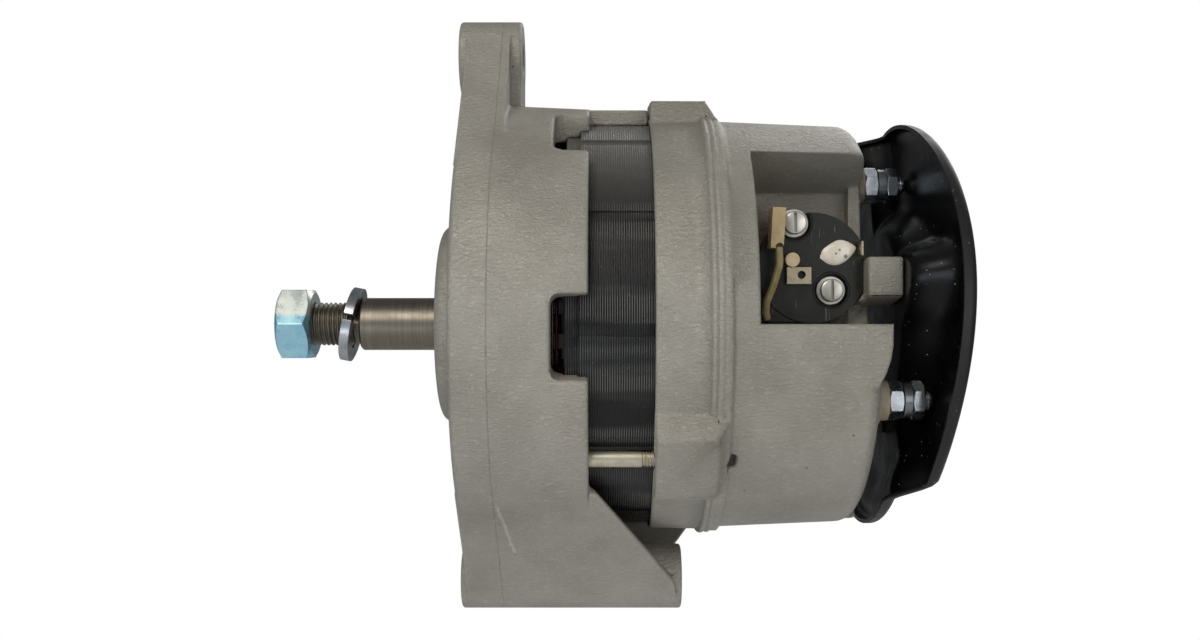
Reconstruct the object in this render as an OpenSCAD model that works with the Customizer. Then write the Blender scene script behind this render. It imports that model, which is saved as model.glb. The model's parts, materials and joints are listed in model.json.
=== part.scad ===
// Alternator with a clamped stator, a pulley shaft at the front and a pressed cover at the rear.
// The row frame has +X along the shaft towards the rear, +Y across and +Z up to the adjusting ear.
// The origin is on the shaft axis at the front face of the bearing boss.
// Most modules work in the shaft frame: x across, y up, z along the shaft.
// Angles in that frame start at the far side, go over the top, and reach the near side at 180.

/* [Shaft] */
// Diameter of the pulley seat
pulley_seat_d = 17; // [15:0.5:17]
// Length of the pulley seat ahead of the bearing boss
pulley_seat_len = 26.9; // [20:0.5:40]
// Diameter of the threaded shaft end
thread_d = 14; // [10:0.5:14.5]
// Length of the threaded shaft end
thread_len = 26.7; // [18:0.5:40]
// Width of the pulley nut across its flats
nut_af = 22; // [20:1:27]
// Height of the pulley nut
nut_h = 11; // [8:0.5:14]
// Outer diameter of the split spring washer
washer_od = 24.1; // [22:0.1:28]
// Thickness of the split spring washer
washer_t = 3; // [2:0.1:4]
// Lean of the loose spring washer in degrees
washer_lean = 11; // [0:1:12]

/* [Front bracket] */
// Radius of the bearing boss
boss_r = 32; // [30:0.5:38]
// Height of the bearing boss in front of the bracket
boss_h = 8.6; // [6:0.2:12]
// Outer radius of the bracket at its parting line
bracket_r = 70.3; // [70:0.1:73]
// Loss of radius by draft towards the open edge
bracket_draft = 1.2; // [0.4:0.1:1.6]
// Depth from the front face to the stator
bracket_depth = 32; // [30:0.5:40]
// Thickness of the front wall
front_wall = 6; // [4:0.5:7]
// Length of the bracket over the stator
front_overlap = 6.7; // [6:0.1:9]
// Width of a vent notch in degrees
notch_w = 20; // [14:1:22]
// Depth of a vent notch from the open edge
notch_len = 10.4; // [8:0.2:11]

/* [Ear and foot] */
// Height of the adjusting ear over the shaft
ear_up = 86; // [84:0.5:95]
// Radius of the ear boss
ear_r = 12.3; // [11:0.1:14]
// Length of the ear boss
ear_len = 20; // [18:0.5:24]
// Diameter of the tapped adjusting hole
ear_hole_d = 8.5; // [7:0.1:10]
// Depth of the pivot barrel below the shaft
foot_down = 82.2; // [80:0.2:90]
// Radius of the pivot barrel
foot_r = 10.3; // [9.5:0.1:12]
// Length of the pivot barrel
foot_len = 70.7; // [60:0.5:76]
// Diameter of the pivot bore
foot_bore_d = 10.3; // [8:0.1:12]
// Thickness of the webs down to the barrel
web_t = 4.5; // [3:0.1:6]

/* [Stator] */
// Outer radius of the laminations
stack_r = 64; // [63.6:0.1:64.4]
// Length of the lamination stack
stack_len = 35.4; // [30:0.2:42]
// Radius of the turned seats at both ends
stack_seat_r = 62; // [61.4:0.1:62.4]
// Length of a turned seat
stack_seat_len = 4.2; // [3:0.1:5]
// Radius of the stator bore
stack_bore_r = 44.5; // [44.3:0.1:45]
// Number of slots
slots = 36; // [24:12:36]
// Depth of the copper end turns beyond the stack
end_turn = 10; // [6:0.5:11]

/* [Through bolts] */
// Radius of the bolt circle
bolt_circle_r = 64; // [63.6:0.1:64.4]
// Diameter of a through bolt
bolt_d = 5; // [4:0.1:5.2]
// Angle of the bolt under the top arm
bolt_angle = 97; // [94:0.5:99]

/* [Rear bracket] */
// Outer radius of the clamping ring
ring_r = 66; // [65.8:0.1:67]
// Length of the clamping ring
ring_len = 15.3; // [13:0.1:17]
// Length of the ring over the stator
rear_overlap = 10.1; // [8:0.1:11]
// Radius of the raised bead
bead_r = 67.3; // [67:0.1:69]
// Radius of the cup next to the bead
cup_r = 65.3; // [65:0.1:65.8]
// Loss of radius of the cup by draft
cup_draft = 1.6; // [0.8:0.1:2]
// Length of the whole rear bracket
rear_len = 66.1; // [64:0.5:74]
// Thickness of the cup wall
cup_wall = 4; // [3:0.1:4.4]
// Height of a lug top over the shaft axis
lug_top = 71.2; // [69.5:0.1:72]

/* [Brush pocket] */
// Length of the pocket from the rear face
pocket_len = 37; // [35:0.5:39]
// Distance of the pocket floor from the shaft axis
pocket_floor = 13.5; // [13:0.1:14.5]
// Height of the pocket at its floor
pocket_h = 41.3; // [39:0.1:43]
// Thickness of the pocket walls
pocket_wall = 4; // [3:0.1:4.4]
// Height of the brush holder centre over the axis
holder_up = 17.2; // [17.1:0.1:18]
// Diameter of the brush holder disc
holder_d = 34; // [32:0.5:34]
// Thickness of the brush holder disc
holder_t = 5.8; // [5:0.1:7]

/* [Brush gear] */
// Radius of the slip rings
slip_r = 11; // [10:0.1:11.4]
// Width of one slip ring
slip_w = 6.6; // [5.6:0.1:6.8]
// Distance between the two slip rings
slip_pitch = 8; // [7.6:0.1:8.4]
// Width of a brush along the shaft
brush_w = 5; // [4:0.1:5.2]
// Height of a brush
brush_h = 6.4; // [5:0.1:6.6]
// Length of a brush
brush_len = 9; // [8:0.1:9.5]

/* [Terminals] */
// Radius of the terminal stud circle
stud_circle_r = 44.8; // [44:0.1:46]
// Diameter of a terminal stud
stud_d = 6; // [5:0.1:6.2]
// Length of a stud behind the rear face
stud_len = 16.6; // [15.5:0.1:17]
// Width of a terminal nut across its flats
stud_nut_af = 10; // [9:0.5:11]

/* [Rear cover] */
// Radius of the cover
cover_r = 64.3; // [63:0.1:66]
// Thickness of the cover sheet
cover_t = 1.2; // [0.8:0.1:1.4]
// Distance of the cover's back from the rear face at its low rim
cover_gap = 7; // [6:0.1:9]
// Extra depth of the raised part over the terminals
cover_raise = 10.8; // [9.5:0.1:12]
// Extra crown in the middle of the raised part
cover_crown = 6; // [4:0.1:7]
// Length of a cover post behind the rear face
post_len = 10; // [9:0.1:11]

/* [Rotor] */
// Radius of the claw poles
pole_r = 44; // [43.4:0.1:44.1]
// Length of the claw pole pair
pole_len = 39.4; // [36:0.2:42]
// Thickness of a claw pole disc
pole_disc = 11; // [9:0.5:12]
// Radius of the pole core
core_r = 22; // [19:0.5:24]
// Diameter of the shaft inside the rotor
rotor_seat_d = 20; // [18:0.5:21]
// Diameter of the shaft inside the slip rings
slip_seat_d = 13; // [12.5:0.1:14]

/* [Bearings] */
// Outer diameter of the front bearing
front_bearing_d = 47; // [44:1:47]
// Width of the front bearing
front_bearing_w = 14; // [13:0.5:15]
// Outer diameter of the rear bearing
rear_bearing_d = 32; // [31.5:0.1:32.5]
// Width of the rear bearing
rear_bearing_w = 10; // [9:0.5:10.5]
// Diameter of the rear journal
rear_journal_d = 12; // [11:0.1:12.2]

/* [Fits] */
// Radial clearance between fixed pieces that slide together
fit = 0.05; // [0.02:0.01:0.1]
// Radial clearance of threads and running shafts
run = 0.06; // [0.02:0.01:0.1]
// Gap round a brush in its box
brush_gap = 0.15; // [0.1:0.01:0.25]

/* [Hidden] */
$fn = 72;

// Places along the shaft
over = 1;
seat_z0 = -pulley_seat_len;
thread_z0 = seat_z0 - thread_len;
parting_z = boss_h + 10.5;
stack_z0 = boss_h + bracket_depth;
stack_z1 = stack_z0 + stack_len;
stack_mid = (stack_z0 + stack_z1) / 2;
front_edge_z = stack_z0 + front_overlap;
rear_edge_z = stack_z1 - rear_overlap;
bead_z = rear_edge_z + ring_len;
cup_z = bead_z + 6.6;
rear_z = rear_edge_z + rear_len;
pocket_z = rear_z - pocket_len;
pole_z0 = stack_mid - pole_len / 2;
pole_z1 = stack_mid + pole_len / 2;

// Front bearing
front_bore_r = front_bearing_d / 2;
front_bearing_z = 4;
front_bearing_z1 = front_bearing_z + front_bearing_w;
retainer_t = 2.4;
retainer_r = front_bore_r + 8;
retainer_screw_r = front_bore_r + 4.4;
front_inner_r = pulley_seat_d / 2;

// Rear bearing and its hub
rear_bearing_z1 = rear_z - 0.5;
rear_bearing_z0 = rear_bearing_z1 - rear_bearing_w;
hub_bore_r = rear_bearing_d / 2;
hub_r = hub_bore_r + 2.6;
hub_z1 = rear_bearing_z1 + 3;
chamber_r = slip_r + 2.5;
rear_slip_z = rear_bearing_z0 - 7;
front_slip_z = rear_slip_z - slip_pitch;
chamber_z0 = front_slip_z - 8.5;

// Bracket radii
open_r = bracket_r - bracket_draft;
face_r = bracket_r - 0.7;
inner_r = stack_seat_r - 1.6;
ear_z1 = boss_h - 3 + ear_len;
ear_plate_z1 = boss_h + 13.5;
ear_rib_half = 10.5;
foot_z0 = boss_h - 2.5;
foot_z1 = foot_z0 + foot_len;
foot_bore_r = foot_bore_d / 2;
ear_sin = (open_r - ear_r) / ear_up;
foot_sin = (open_r - foot_r) / foot_down;
foot_cos = sqrt(1 - foot_sin * foot_sin);
arm_angle = 86;
arm_half = 15;
arm_r0 = stack_r + 0.4;
notch_first = 3;
groove_first = 1.5;
bolt_r = bolt_d / 2;
bolt_hole_r = bolt_r + 0.15;
bolt_head_r = 4;
bolt_head_h = 4.6;
bolt_seat_z = boss_h + 6;
bolt_end_z = cup_z - 2.4;
bolt_boss_r = 5.5;
bolt_boss_at = bolt_circle_r - 1.5;
bolt_channel_r = bolt_r + 0.7;
lug_half = 15.7;
lug_flat_half = 11;

// Terminals and cover posts
output_angle = 210.2;
neutral_angle = 96;
stud_r = stud_d / 2;
bush_r = stud_r + 2.4;
bush_flange_r = stud_r + 3;
stud_seat_z = rear_z + 0.4;
stud_boss_r = 7.4;
nut_h1 = 4.6;
spring_t = 2.4;
nut_h2 = 3.9;
// Both stacks by [angle, flange thickness of the bush]
studs = [[output_angle, 2.8], [neutral_angle, 2.8]];
sink_t = 3;
positive_z = rear_z - 21;
negative_z = positive_z - 13;
sink_r0 = 25;
sink_r1 = cup_r - cup_draft - cup_wall - 2;
sink_from = 197;
sink_to = 420;
diode_r = 6.35;
diode_h = 7;
diode_circle_r = 41;
sink_screw_angles = [259, 292, 338, 410];
sink_screw_r = 52;
rect_screw_r = 2;
post_angles = [150.5, 30.5, 270.5];
post_at = 30;
post_w = 11;
post_near = 33;
post_screw_r = 2.5;

// Brush gear
holder_z = rear_z - 16.2;
holder_back = hub_r + 0.6;
holder_front = holder_back + holder_t;
brush_up = 4.7;
box_wall = 1.3;
box_back = slip_r + 1.1;
box_roof = 0.8;
box_half = brush_h / 2 + brush_gap + box_wall;
box_z0 = front_slip_z - brush_w / 2 - brush_gap - box_wall;
box_z1 = rear_slip_z + brush_w / 2 + brush_gap + box_wall;
brush_tip = sqrt(slip_r * slip_r - pow(brush_up - brush_h / 2, 2)) + 0.05;
brush_back = brush_tip + brush_len;
spring_room = holder_front - box_roof - brush_back;
screw_a = [holder_z - 5.5, holder_up + 13.8];
screw_b = [holder_z + 5.8, holder_up - 6.9];
holder_screw_r = 2;
holder_head_r = 3.5;
pad_r = 4.6;
recess_depth = 2;

// Points along the outlines
function polar(r, a) = [r * cos(a), r * sin(a)];
function arc(c, r, from, to, n = 6) = [for (i = [0:n]) c + polar(r, from + (to - from) * i / n)];
function smooth(t) = let (u = min(1, max(0, t))) u * u * (3 - 2 * u);
function mix(a, b, t) = a + (b - a) * t;
function angle_off(a, b) = abs((a - b + 540) % 360 - 180);

// Shaft frame and simple shapes in it
module in_row() rotate([90, 0, 90]) children();
module disc(r, z0, z1) translate([0, 0, z0]) cylinder(r = r, h = z1 - z0);
module slab(z0, z1) translate([0, 0, z0]) linear_extrude(z1 - z0) children();
module ring(ro, ri, z0, z1) difference() { disc(ro, z0, z1); disc(ri, z0 - over, z1 + over); }
module around(a, r = 0, z = 0) rotate(a) translate([r, 0, z]) children();
module turned(points) rotate_extrude() polygon(points);
module rod(r, a, at, z0, z1) around(a, at) disc(r, z0, z1);
// A block that spans x0 to x1, y0 to y1 and z0 to z1
module block(x, y, z) translate([x[0], y[0], z[0]]) cube([x[1] - x[0], y[1] - y[0], z[1] - z[0]]);
// A sector of w degrees about angle a
module wedge(a, w, r, z0, z1) rotate(a) slab(z0, z1)
    polygon([[0, 0], [r, -r * tan(w / 2)], [r, r * tan(w / 2)]]);
// An outline of along and up, extruded across from x0 to x1
module side_slab(x0, x1) translate([x1, 0, 0]) rotate([0, -90, 0]) linear_extrude(x1 - x0) children();
// A pin that points to the near side, at a height and a place along the shaft
module near_rod(r, up, z, x0, x1) translate([-x0, up, z]) rotate([0, -90, 0]) cylinder(r = r, h = x1 - x0);
// The tangent flats between a circle about the shaft and a smaller one further out, sunk by a hair
sunk = 0.25;
module flats(r1, r2, d, s) polygon([for (p = [[0, r1 - sunk, 1], [d, r2 - sunk, 1], [d, r2 - sunk, -1],
    [0, r1 - sunk, -1]]) [p[0] + p[1] * s, p[2] * p[1] * sqrt(1 - s * s)]]);
// A hexagon nut with both ends chamfered
module hex_nut(af, h, hole_r, z) translate([0, 0, z]) difference() {
    intersection() {
        cylinder(r = af / 2 / cos(30), h = h, $fn = 6);
        turned([[0, 0], [af * 0.46, 0], [af * 0.6, af * 0.08], [af * 0.6, h - af * 0.08],
            [af * 0.46, h], [0, h]]);
    }
    disc(hole_r, -over, h + over);
}

// Front bracket
module front_shell() turned(concat(
    [[front_inner_r + 1.4, 0]], arc([boss_r - 3.5, 3.5], 3.5, -90, 0),
    [[boss_r, boss_h]], arc([face_r - 2, boss_h + 2], 2, -90, 0),
    [[bracket_r, parting_z], [open_r, front_edge_z], [stack_r + fit, front_edge_z],
    [stack_r + fit, stack_z0 + stack_seat_len], [stack_seat_r + fit, stack_z0 + stack_seat_len],
    [stack_seat_r + fit, stack_z0], [inner_r, stack_z0]],
    [[inner_r, boss_h + front_wall + 5]],
    arc([inner_r - 5, boss_h + front_wall + 5], 5, 0, -90),
    [[retainer_r + 2, boss_h + front_wall], [retainer_r + 2, front_bearing_z1],
    [front_bore_r, front_bearing_z1], [front_bore_r, front_bearing_z],
    [front_inner_r + 1.4, front_bearing_z]]));

module ear() {
    slab(boss_h, ear_plate_z1) rotate(90) difference() {
        flats(open_r, ear_r, ear_up, ear_sin);
        circle(r = stack_r);
    }
    rod(ear_r, 90, ear_up, boss_h - 3, ear_z1);
    block([-ear_rib_half, ear_rib_half], [stack_r, ear_up], [boss_h, ear_z1]);
}

// One web follows the tangent from the bracket to the pivot barrel
module web_section(side) rotate(270) polygon([for (p = [[0, open_r - sunk], [foot_down, foot_r - sunk],
    [foot_down, foot_r - web_t], [0, open_r - web_t]]) [p[0] + p[1] * foot_sin, side * p[1] * foot_cos]]);

module foot() {
    low = -foot_down - foot_r;
    difference() {
        union() {
            slab(boss_h, boss_h + front_wall) rotate(270) flats(open_r, foot_r, foot_down, foot_sin);
            // Near web with its slanted rear edge
            intersection() {
                slab(boss_h, foot_z1) web_section(-1);
                side_slab(-bracket_r, 0) polygon([[boss_h, -40], [front_edge_z, -40],
                    [front_edge_z, -45.8], [foot_z1 - 3.2, 1.6 - foot_down],
                    [foot_z1 - 0.6, low], [boss_h, low]]);
            }
            // Far web runs under the stator to the rear
            intersection() {
                slab(boss_h, foot_z1 + 4.2) web_section(1);
                side_slab(0, bracket_r) polygon([[boss_h, -40], [front_edge_z, -40],
                    [front_edge_z, -stack_r - 3], [foot_z1 + 4.2, -stack_r - 3],
                    [foot_z1 + 4.2, -stack_r - 5.5], [foot_z1 - 0.6, -stack_r - 10.6],
                    [foot_z1 - 0.6, low], [boss_h, low]]);
            }
            rod(foot_r, 270, foot_down, foot_z0, foot_z1);
        }
        disc(stack_r + 2, boss_h - over, foot_z1 + 10);
    }
}

module front_bracket() color("#a39e95") in_row() difference() {
    union() {
        front_shell();
        ear();
        foot();
        // Bosses for the through bolts inside the cup
        for (i = [0:2]) rod(bolt_boss_r, bolt_angle + 120 * i, bolt_boss_at, boss_h + 1, stack_z0 - 1);
        // Top arm over the stator up to the rear lug
        intersection() {
            ring(open_r - 0.2, arm_r0, front_edge_z - 2, rear_edge_z - 0.1);
            wedge(arm_angle, 2 * arm_half, 90, front_edge_z - 2, rear_edge_z);
        }
    }
    // Vent notches in the open edge
    for (i = [0:5]) intersection() {
        wedge(notch_first + 60 * i, notch_w, 90, front_edge_z - notch_len, front_edge_z + over);
        ring(90, inner_r - 4, front_edge_z - notch_len, front_edge_z + over);
        if (angle_off(notch_first + 60 * i, arm_angle) < 30) disc(arm_r0, 0, rear_edge_z);
    }
    // Windows in the front wall
    for (i = [0:5]) intersection() {
        wedge(notch_first + 30 + 60 * i, 40, 90, boss_h - over, boss_h + front_wall + over);
        ring(inner_r - 6, retainer_r + 4.5, boss_h - over, boss_h + front_wall + over);
    }
    // Bolt holes with sunk seats for the heads
    for (i = [0:2]) around(bolt_angle + 120 * i, bolt_circle_r) {
        disc(bolt_hole_r, boss_h - over, rear_edge_z + over);
        disc(bolt_head_r + 0.2, boss_h - over, bolt_seat_z);
        disc(bolt_channel_r, stack_z0 - 0.6, front_edge_z + over);
    }
    // Tapped holes for the bearing retainer
    for (i = [0:2]) rod(rect_screw_r, 60 + 120 * i, retainer_screw_r, boss_h, front_bearing_z1 + over);
    // Adjusting hole with chamfered mouths, and the pivot bore
    around(90, ear_up) {
        disc(ear_hole_d / 2, 0, ear_z1 + over);
        translate([0, 0, boss_h - 3]) rotate_extrude()
            polygon([[0, -over], [ear_hole_d / 2 + 0.8, -over], [ear_hole_d / 2 + 0.8, 0], [0, 5]]);
        translate([0, 0, ear_z1]) rotate_extrude()
            polygon([[0, over], [ear_hole_d / 2 + 0.8, over], [ear_hole_d / 2 + 0.8, 0], [0, -5]]);
    }
    rod(foot_bore_r, 270, foot_down, foot_z0 - over, foot_z1 + over);
}

// Rear bracket
cup_r1 = cup_r - cup_draft;
cup_corner = 5;
cup_crown = 2;
module rear_outline() turned(concat(
    [[0, rear_edge_z], [ring_r - 0.3, rear_edge_z], [ring_r, bead_z]],
    arc([bead_r - 1.1, bead_z + 1.1], 1.1, -60, 60, 4), arc([bead_r - 1.3, bead_z + 3.1], 1.1, -60, 60, 4),
    [[ring_r + 0.6, bead_z + 4.2], [ring_r + 0.6, cup_z - 0.6], [cup_r, cup_z]],
    arc([cup_r1 - cup_corner, rear_z - cup_crown - cup_corner], cup_corner, 0, 80),
    [[cup_r1 - 13, rear_z], [0, rear_z]]));

module rear_inside() turned([[0, rear_edge_z - over], [stack_r + fit, rear_edge_z - over],
    [stack_r + fit, stack_z1 - stack_seat_len], [stack_seat_r + fit, stack_z1 - stack_seat_len],
    [stack_seat_r + fit, stack_z1], [inner_r, stack_z1], [inner_r, cup_z],
    [cup_r1 - cup_wall, rear_z - cup_wall - 4], [cup_r1 - cup_wall - 4, rear_z - cup_wall],
    [0, rear_z - cup_wall]]);

// The rim under the pocket keeps its full length
module pocket_rim() intersection() {
    disc(cup_r1 - 0.2, rear_z - 12, rear_z);
    side_slab(-cup_r1, -cup_r1 * 0.7) polygon([[rear_z - 12, 0], [rear_z, 0], [rear_z, -6],
        [rear_z - 0.5, -10], [rear_z - 1.7, -14], [rear_z - 3.6, -18], [rear_z - 12, -18]]);
}

// The pocket's section, open to the near side, grown outward by g
module pocket_section(g) polygon([[-80, -g], [g - pocket_floor, -g], [g - pocket_floor, pocket_h + g],
    [-80, pocket_h + g + (80 - pocket_floor) * 0.371]]);

module lugs() for (i = [0:2]) intersection() {
    rotate(bolt_angle - 1.5 + 120 * i) slab(rear_edge_z + 0.3, cup_z) polygon([[stack_r - 8, -lug_half],
        [ring_r - 3, -lug_half], [lug_top, -lug_flat_half], [lug_top, lug_flat_half],
        [ring_r - 3, lug_half], [stack_r - 8, lug_half]]);
    turned([[0, rear_edge_z], [90, rear_edge_z], [90, bead_z], [lug_top + 0.4, bead_z + 2.4],
        [ring_r, cup_z - 0.4], [0, cup_z]]);
}

module rear_bracket() color("#9c978e") in_row() difference() {
    union() {
        difference() {
            union() {
                difference() { union() { rear_outline(); lugs(); pocket_rim(); } rear_inside(); }
                // Walls of the brush pocket
                intersection() {
                    rear_outline();
                    slab(pocket_z - pocket_wall, rear_z) pocket_section(pocket_wall);
                }
                // Bosses of the terminal studs
                rod(stud_boss_r, output_angle, stud_circle_r, rear_z - 10, stud_seat_z);
                // Bosses of the rectifier screws
                for (a = sink_screw_angles) rod(4, a, sink_screw_r, positive_z + sink_t + 3, rear_z - 1);
            }
            slab(pocket_z, rear_z - cup_wall) pocket_section(0);
            intersection() {
                slab(pocket_z, rear_z + 2 * over) pocket_section(0);
                block([-80, 0.5 - holder_back], [0, 90], [pocket_z, rear_z + 2 * over]);
            }
            disc(chamber_r, chamber_z0, rear_z);
        }
        rod(stud_boss_r, neutral_angle, stud_circle_r, rear_z - 12, stud_seat_z);
        // Slip ring chamber and bearing hub
        disc(chamber_r + 3, chamber_z0, rear_bearing_z0 - 2);
        disc(hub_r, rear_bearing_z0 - 2, hub_z1);
        // Ribs from the hub to the cup wall
        for (a = [259, 292, 338, 20]) rotate(a)
            block([hub_r - 1, cup_r1 - 1], [-2, 2], [rear_z - 9, rear_z - 1]);
        // Pads under the brush holder screws
        near_rod(pad_r, screw_a[1], screw_a[0], pocket_floor - 2, holder_back);
        near_rod(pad_r, screw_b[1], screw_b[0], pocket_floor, holder_back);
        // Small boss at the low front corner of the pocket
        near_rod(4, 2.6, pocket_z + 5.6, pocket_floor - 2, holder_back);
        // Posts that carry the cover
        for (a = [post_angles[1], post_angles[2]]) around(a, post_at) block([-post_w / 2, post_w / 2],
            [-post_w / 2, post_w / 2], [rear_z - cup_wall, rear_z + post_len]);
        difference() {
            slab(rear_z - cup_wall, rear_z + post_len) polygon([[-post_near, 9.1], [-post_near, 20.3],
                [-16, 20.3], [-16, 5.4], [1 - post_near, 8]]);
            near_rod(holder_d / 2 + 0.5, holder_up, holder_z, holder_back - 0.2, holder_front + 0.5);
            block([-post_near - over, -holder_front - 0.5], [0, 30], [rear_z - 10, rear_z - 0.6]);
        }
    }
    // Bore for the slip rings and the rear bearing
    disc(chamber_r, chamber_z0 - over, rear_bearing_z0 - 1.5);
    disc(hub_bore_r - 2, rear_bearing_z0 - 4, hub_z1 - 2);
    disc(hub_bore_r, rear_bearing_z0 - 1.5, rear_bearing_z1);
    turned([[0, rear_bearing_z0 - 4.5], [chamber_r, rear_bearing_z0 - 4.5],
        [hub_bore_r, rear_bearing_z0 - 1.5], [0, rear_bearing_z0 - 1.5]]);
    // Mouth for the brush box
    block([-hub_r - 2, -5], [brush_up - box_half - 0.3, brush_up + box_half + 0.3],
        [box_z0 - 0.3, box_z1 + 0.3]);
    for (s = [screw_a, screw_b])
        near_rod(holder_screw_r, s[1], s[0], pocket_floor + 0.2, holder_back + over);
    // Tapped holes of the lugs break out beside the cup
    for (i = [0:2]) rod(bolt_hole_r, bolt_angle + 120 * i, bolt_circle_r, rear_edge_z - over, cup_z + 1.6);
    for (a = [output_angle, neutral_angle])
        rod(bush_r + fit, a, stud_circle_r, rear_z - 20, rear_z + over);
    for (a = sink_screw_angles) rod(rect_screw_r, a, sink_screw_r, positive_z, rear_z - 2);
    for (a = post_angles) rod(post_screw_r, a, post_at, rear_z, rear_z + post_len + over);
    // Air slots in the rear wall
    for (a = [239, 312, 358]) intersection() {
        wedge(a, 22, 90, rear_z - 8, rear_z + over);
        ring(sink_r1 - 1, hub_r + 7, rear_z - 8, rear_z + over);
    }
}

// Stator
module stator_core() color("#2b2c30") in_row() difference() {
    union() {
        disc(stack_seat_r, stack_z0, stack_z1);
        disc(stack_r, stack_z0 + stack_seat_len, stack_z1 - stack_seat_len);
    }
    disc(stack_bore_r, stack_z0 - over, stack_z1 + over);
    for (i = [0:slots - 1]) rotate((i + 0.5) * 360 / slots) {
        block([stack_bore_r + 1.6, stack_bore_r + 12.2], [-2.3, 2.3], [stack_z0 - over, stack_z1 + over]);
        block([stack_bore_r - 2, stack_bore_r + 2], [-1.2, 1.2], [stack_z0 - over, stack_z1 + over]);
    }
    for (i = [0:11]) around(groove_first + 30 * i, stack_r - 1)
        block([0, 3], [-1.75, 1.75], [stack_z0 - over, stack_z1 + over]);
    for (i = [0:2]) rod(bolt_channel_r, bolt_angle + 120 * i, bolt_circle_r, stack_z0 - over, stack_z1 + over);
}

winding_r0 = stack_bore_r + 1.8;
winding_r1 = stack_bore_r + 12;
module stator_winding() color("#6e2a1c") in_row() {
    for (z = [stack_z0 - 1 - end_turn, stack_z1 + 1]) turned([[winding_r0, z + 3], [winding_r0 + 2.6, z],
        [winding_r1 - 2.6, z], [winding_r1, z + 3], [winding_r1, z + end_turn - 3],
        [winding_r1 - 2.6, z + end_turn], [winding_r0 + 2.6, z + end_turn], [winding_r0, z + end_turn - 3]]);
    for (i = [0:slots - 1]) rotate((i + 0.5) * 360 / slots)
        block([winding_r0 + 0.4, winding_r1 - 0.4], [-2.1, 2.1], [stack_z0 - 4, stack_z1 + 4]);
}

module through_bolts() color("#c9c3ae") in_row() for (i = [0:2]) around(bolt_angle + 120 * i, bolt_circle_r)
    difference() {
        union() {
            disc(bolt_head_r, bolt_seat_z - bolt_head_h, bolt_seat_z);
            disc(bolt_r, bolt_seat_z - over, bolt_end_z);
        }
        disc(2, bolt_seat_z - bolt_head_h - over, bolt_seat_z - 2, $fn = 6);
    }

// Ball bearings: a race is a ring with a groove for the balls
module race(ro, ri, pitch_r, ball_r, z0, w) difference() {
    ring(ro, ri, z0, z0 + w);
    rotate_extrude() translate([pitch_r, z0 + w / 2]) circle(r = ball_r + 0.1);
}
module ball_set(pitch_r, ball_r, n, z) for (i = [0:n - 1]) around(360 * i / n, pitch_r, z) sphere(r = ball_r);
module cage(pitch_r, ball_r, n, z, w) difference() {
    pocket = ball_r + 0.06;
    ring(pitch_r + 1.2, pitch_r - 1.2, z - w / 2, z + w / 2);
    for (i = [0:n - 1]) around(360 * i / n, 0, z)
        block([pitch_r - 3, pitch_r + 3], [-pocket, pocket], [-pocket, pocket]);
}
front_pitch_r = (front_bore_r + front_inner_r) / 2;
front_ball_r = (front_bore_r - front_inner_r) * 0.29;
front_mid_z = front_bearing_z + front_bearing_w / 2;
front_shoulder_in = front_pitch_r - front_ball_r * 0.75;
front_shoulder_out = front_pitch_r + front_ball_r * 0.75;
rear_inner_r = rear_journal_d / 2;
rear_pitch_r = (hub_bore_r + rear_inner_r) / 2;
rear_ball_r = (hub_bore_r - rear_inner_r) * 0.29;
rear_mid_z = (rear_bearing_z0 + rear_bearing_z1) / 2;
rear_shoulder_in = rear_pitch_r - rear_ball_r * 0.75;
rear_shoulder_out = rear_pitch_r + rear_ball_r * 0.75;
balls = 7;

module front_bearing_outer_ring() color("#b9bcc0") in_row()
    race(front_bore_r - fit, front_shoulder_out, front_pitch_r, front_ball_r, front_bearing_z, front_bearing_w);
module front_bearing_inner_ring() color("#b9bcc0") in_row()
    race(front_shoulder_in, front_inner_r + fit, front_pitch_r, front_ball_r, front_bearing_z, front_bearing_w);
module rear_bearing_outer_ring() color("#b9bcc0") in_row()
    race(hub_bore_r - fit, rear_shoulder_out, rear_pitch_r, rear_ball_r, rear_bearing_z0, rear_bearing_w);
module rear_bearing_inner_ring() color("#b9bcc0") in_row()
    race(rear_shoulder_in, rear_inner_r + fit, rear_pitch_r, rear_ball_r, rear_bearing_z0, rear_bearing_w);
module seal_pair(r_out, r_in, z0, w) {
    ring(r_out - fit, r_in + 0.3, z0 + 0.3, z0 + 1.3);
    ring(r_out - fit, r_in + 0.3, z0 + w - 1.3, z0 + w - 0.3);
}
module front_bearing_seals() color("#262626") in_row()
    seal_pair(front_shoulder_out, front_shoulder_in, front_bearing_z, front_bearing_w);
module rear_bearing_seals() color("#262626") in_row()
    seal_pair(rear_shoulder_out, rear_shoulder_in, rear_bearing_z0, rear_bearing_w);
module front_bearing_cage() color("#8a7a55") in_row()
    cage(front_pitch_r, front_ball_r, balls, front_mid_z, front_bearing_w - 3.6);
module front_bearing_balls() color("#d5d8dc") in_row()
    ball_set(front_pitch_r, front_ball_r, balls, front_mid_z);
module rear_bearing_cage() color("#8a7a55") in_row()
    cage(rear_pitch_r, rear_ball_r, balls, rear_mid_z, rear_bearing_w - 3.6);
module rear_bearing_balls() color("#d5d8dc") in_row()
    ball_set(rear_pitch_r, rear_ball_r, balls, rear_mid_z);

module bearing_retainer() color("#8f9296") in_row() difference() {
    ring(retainer_r, front_shoulder_out - 1, front_bearing_z1, front_bearing_z1 + retainer_t);
    for (i = [0:2]) rod(rect_screw_r + 0.2, 60 + 120 * i, retainer_screw_r, front_bearing_z1 - over,
        front_bearing_z1 + retainer_t + over);
}
module retainer_screws() color("#c2c5c8") in_row() for (i = [0:2]) around(60 + 120 * i, retainer_screw_r) {
    disc(rect_screw_r - fit, front_bearing_z1 - 7, front_bearing_z1 + retainer_t + over);
    disc(3.4, front_bearing_z1 + retainer_t, front_bearing_z1 + retainer_t + 2.4);
}

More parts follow.
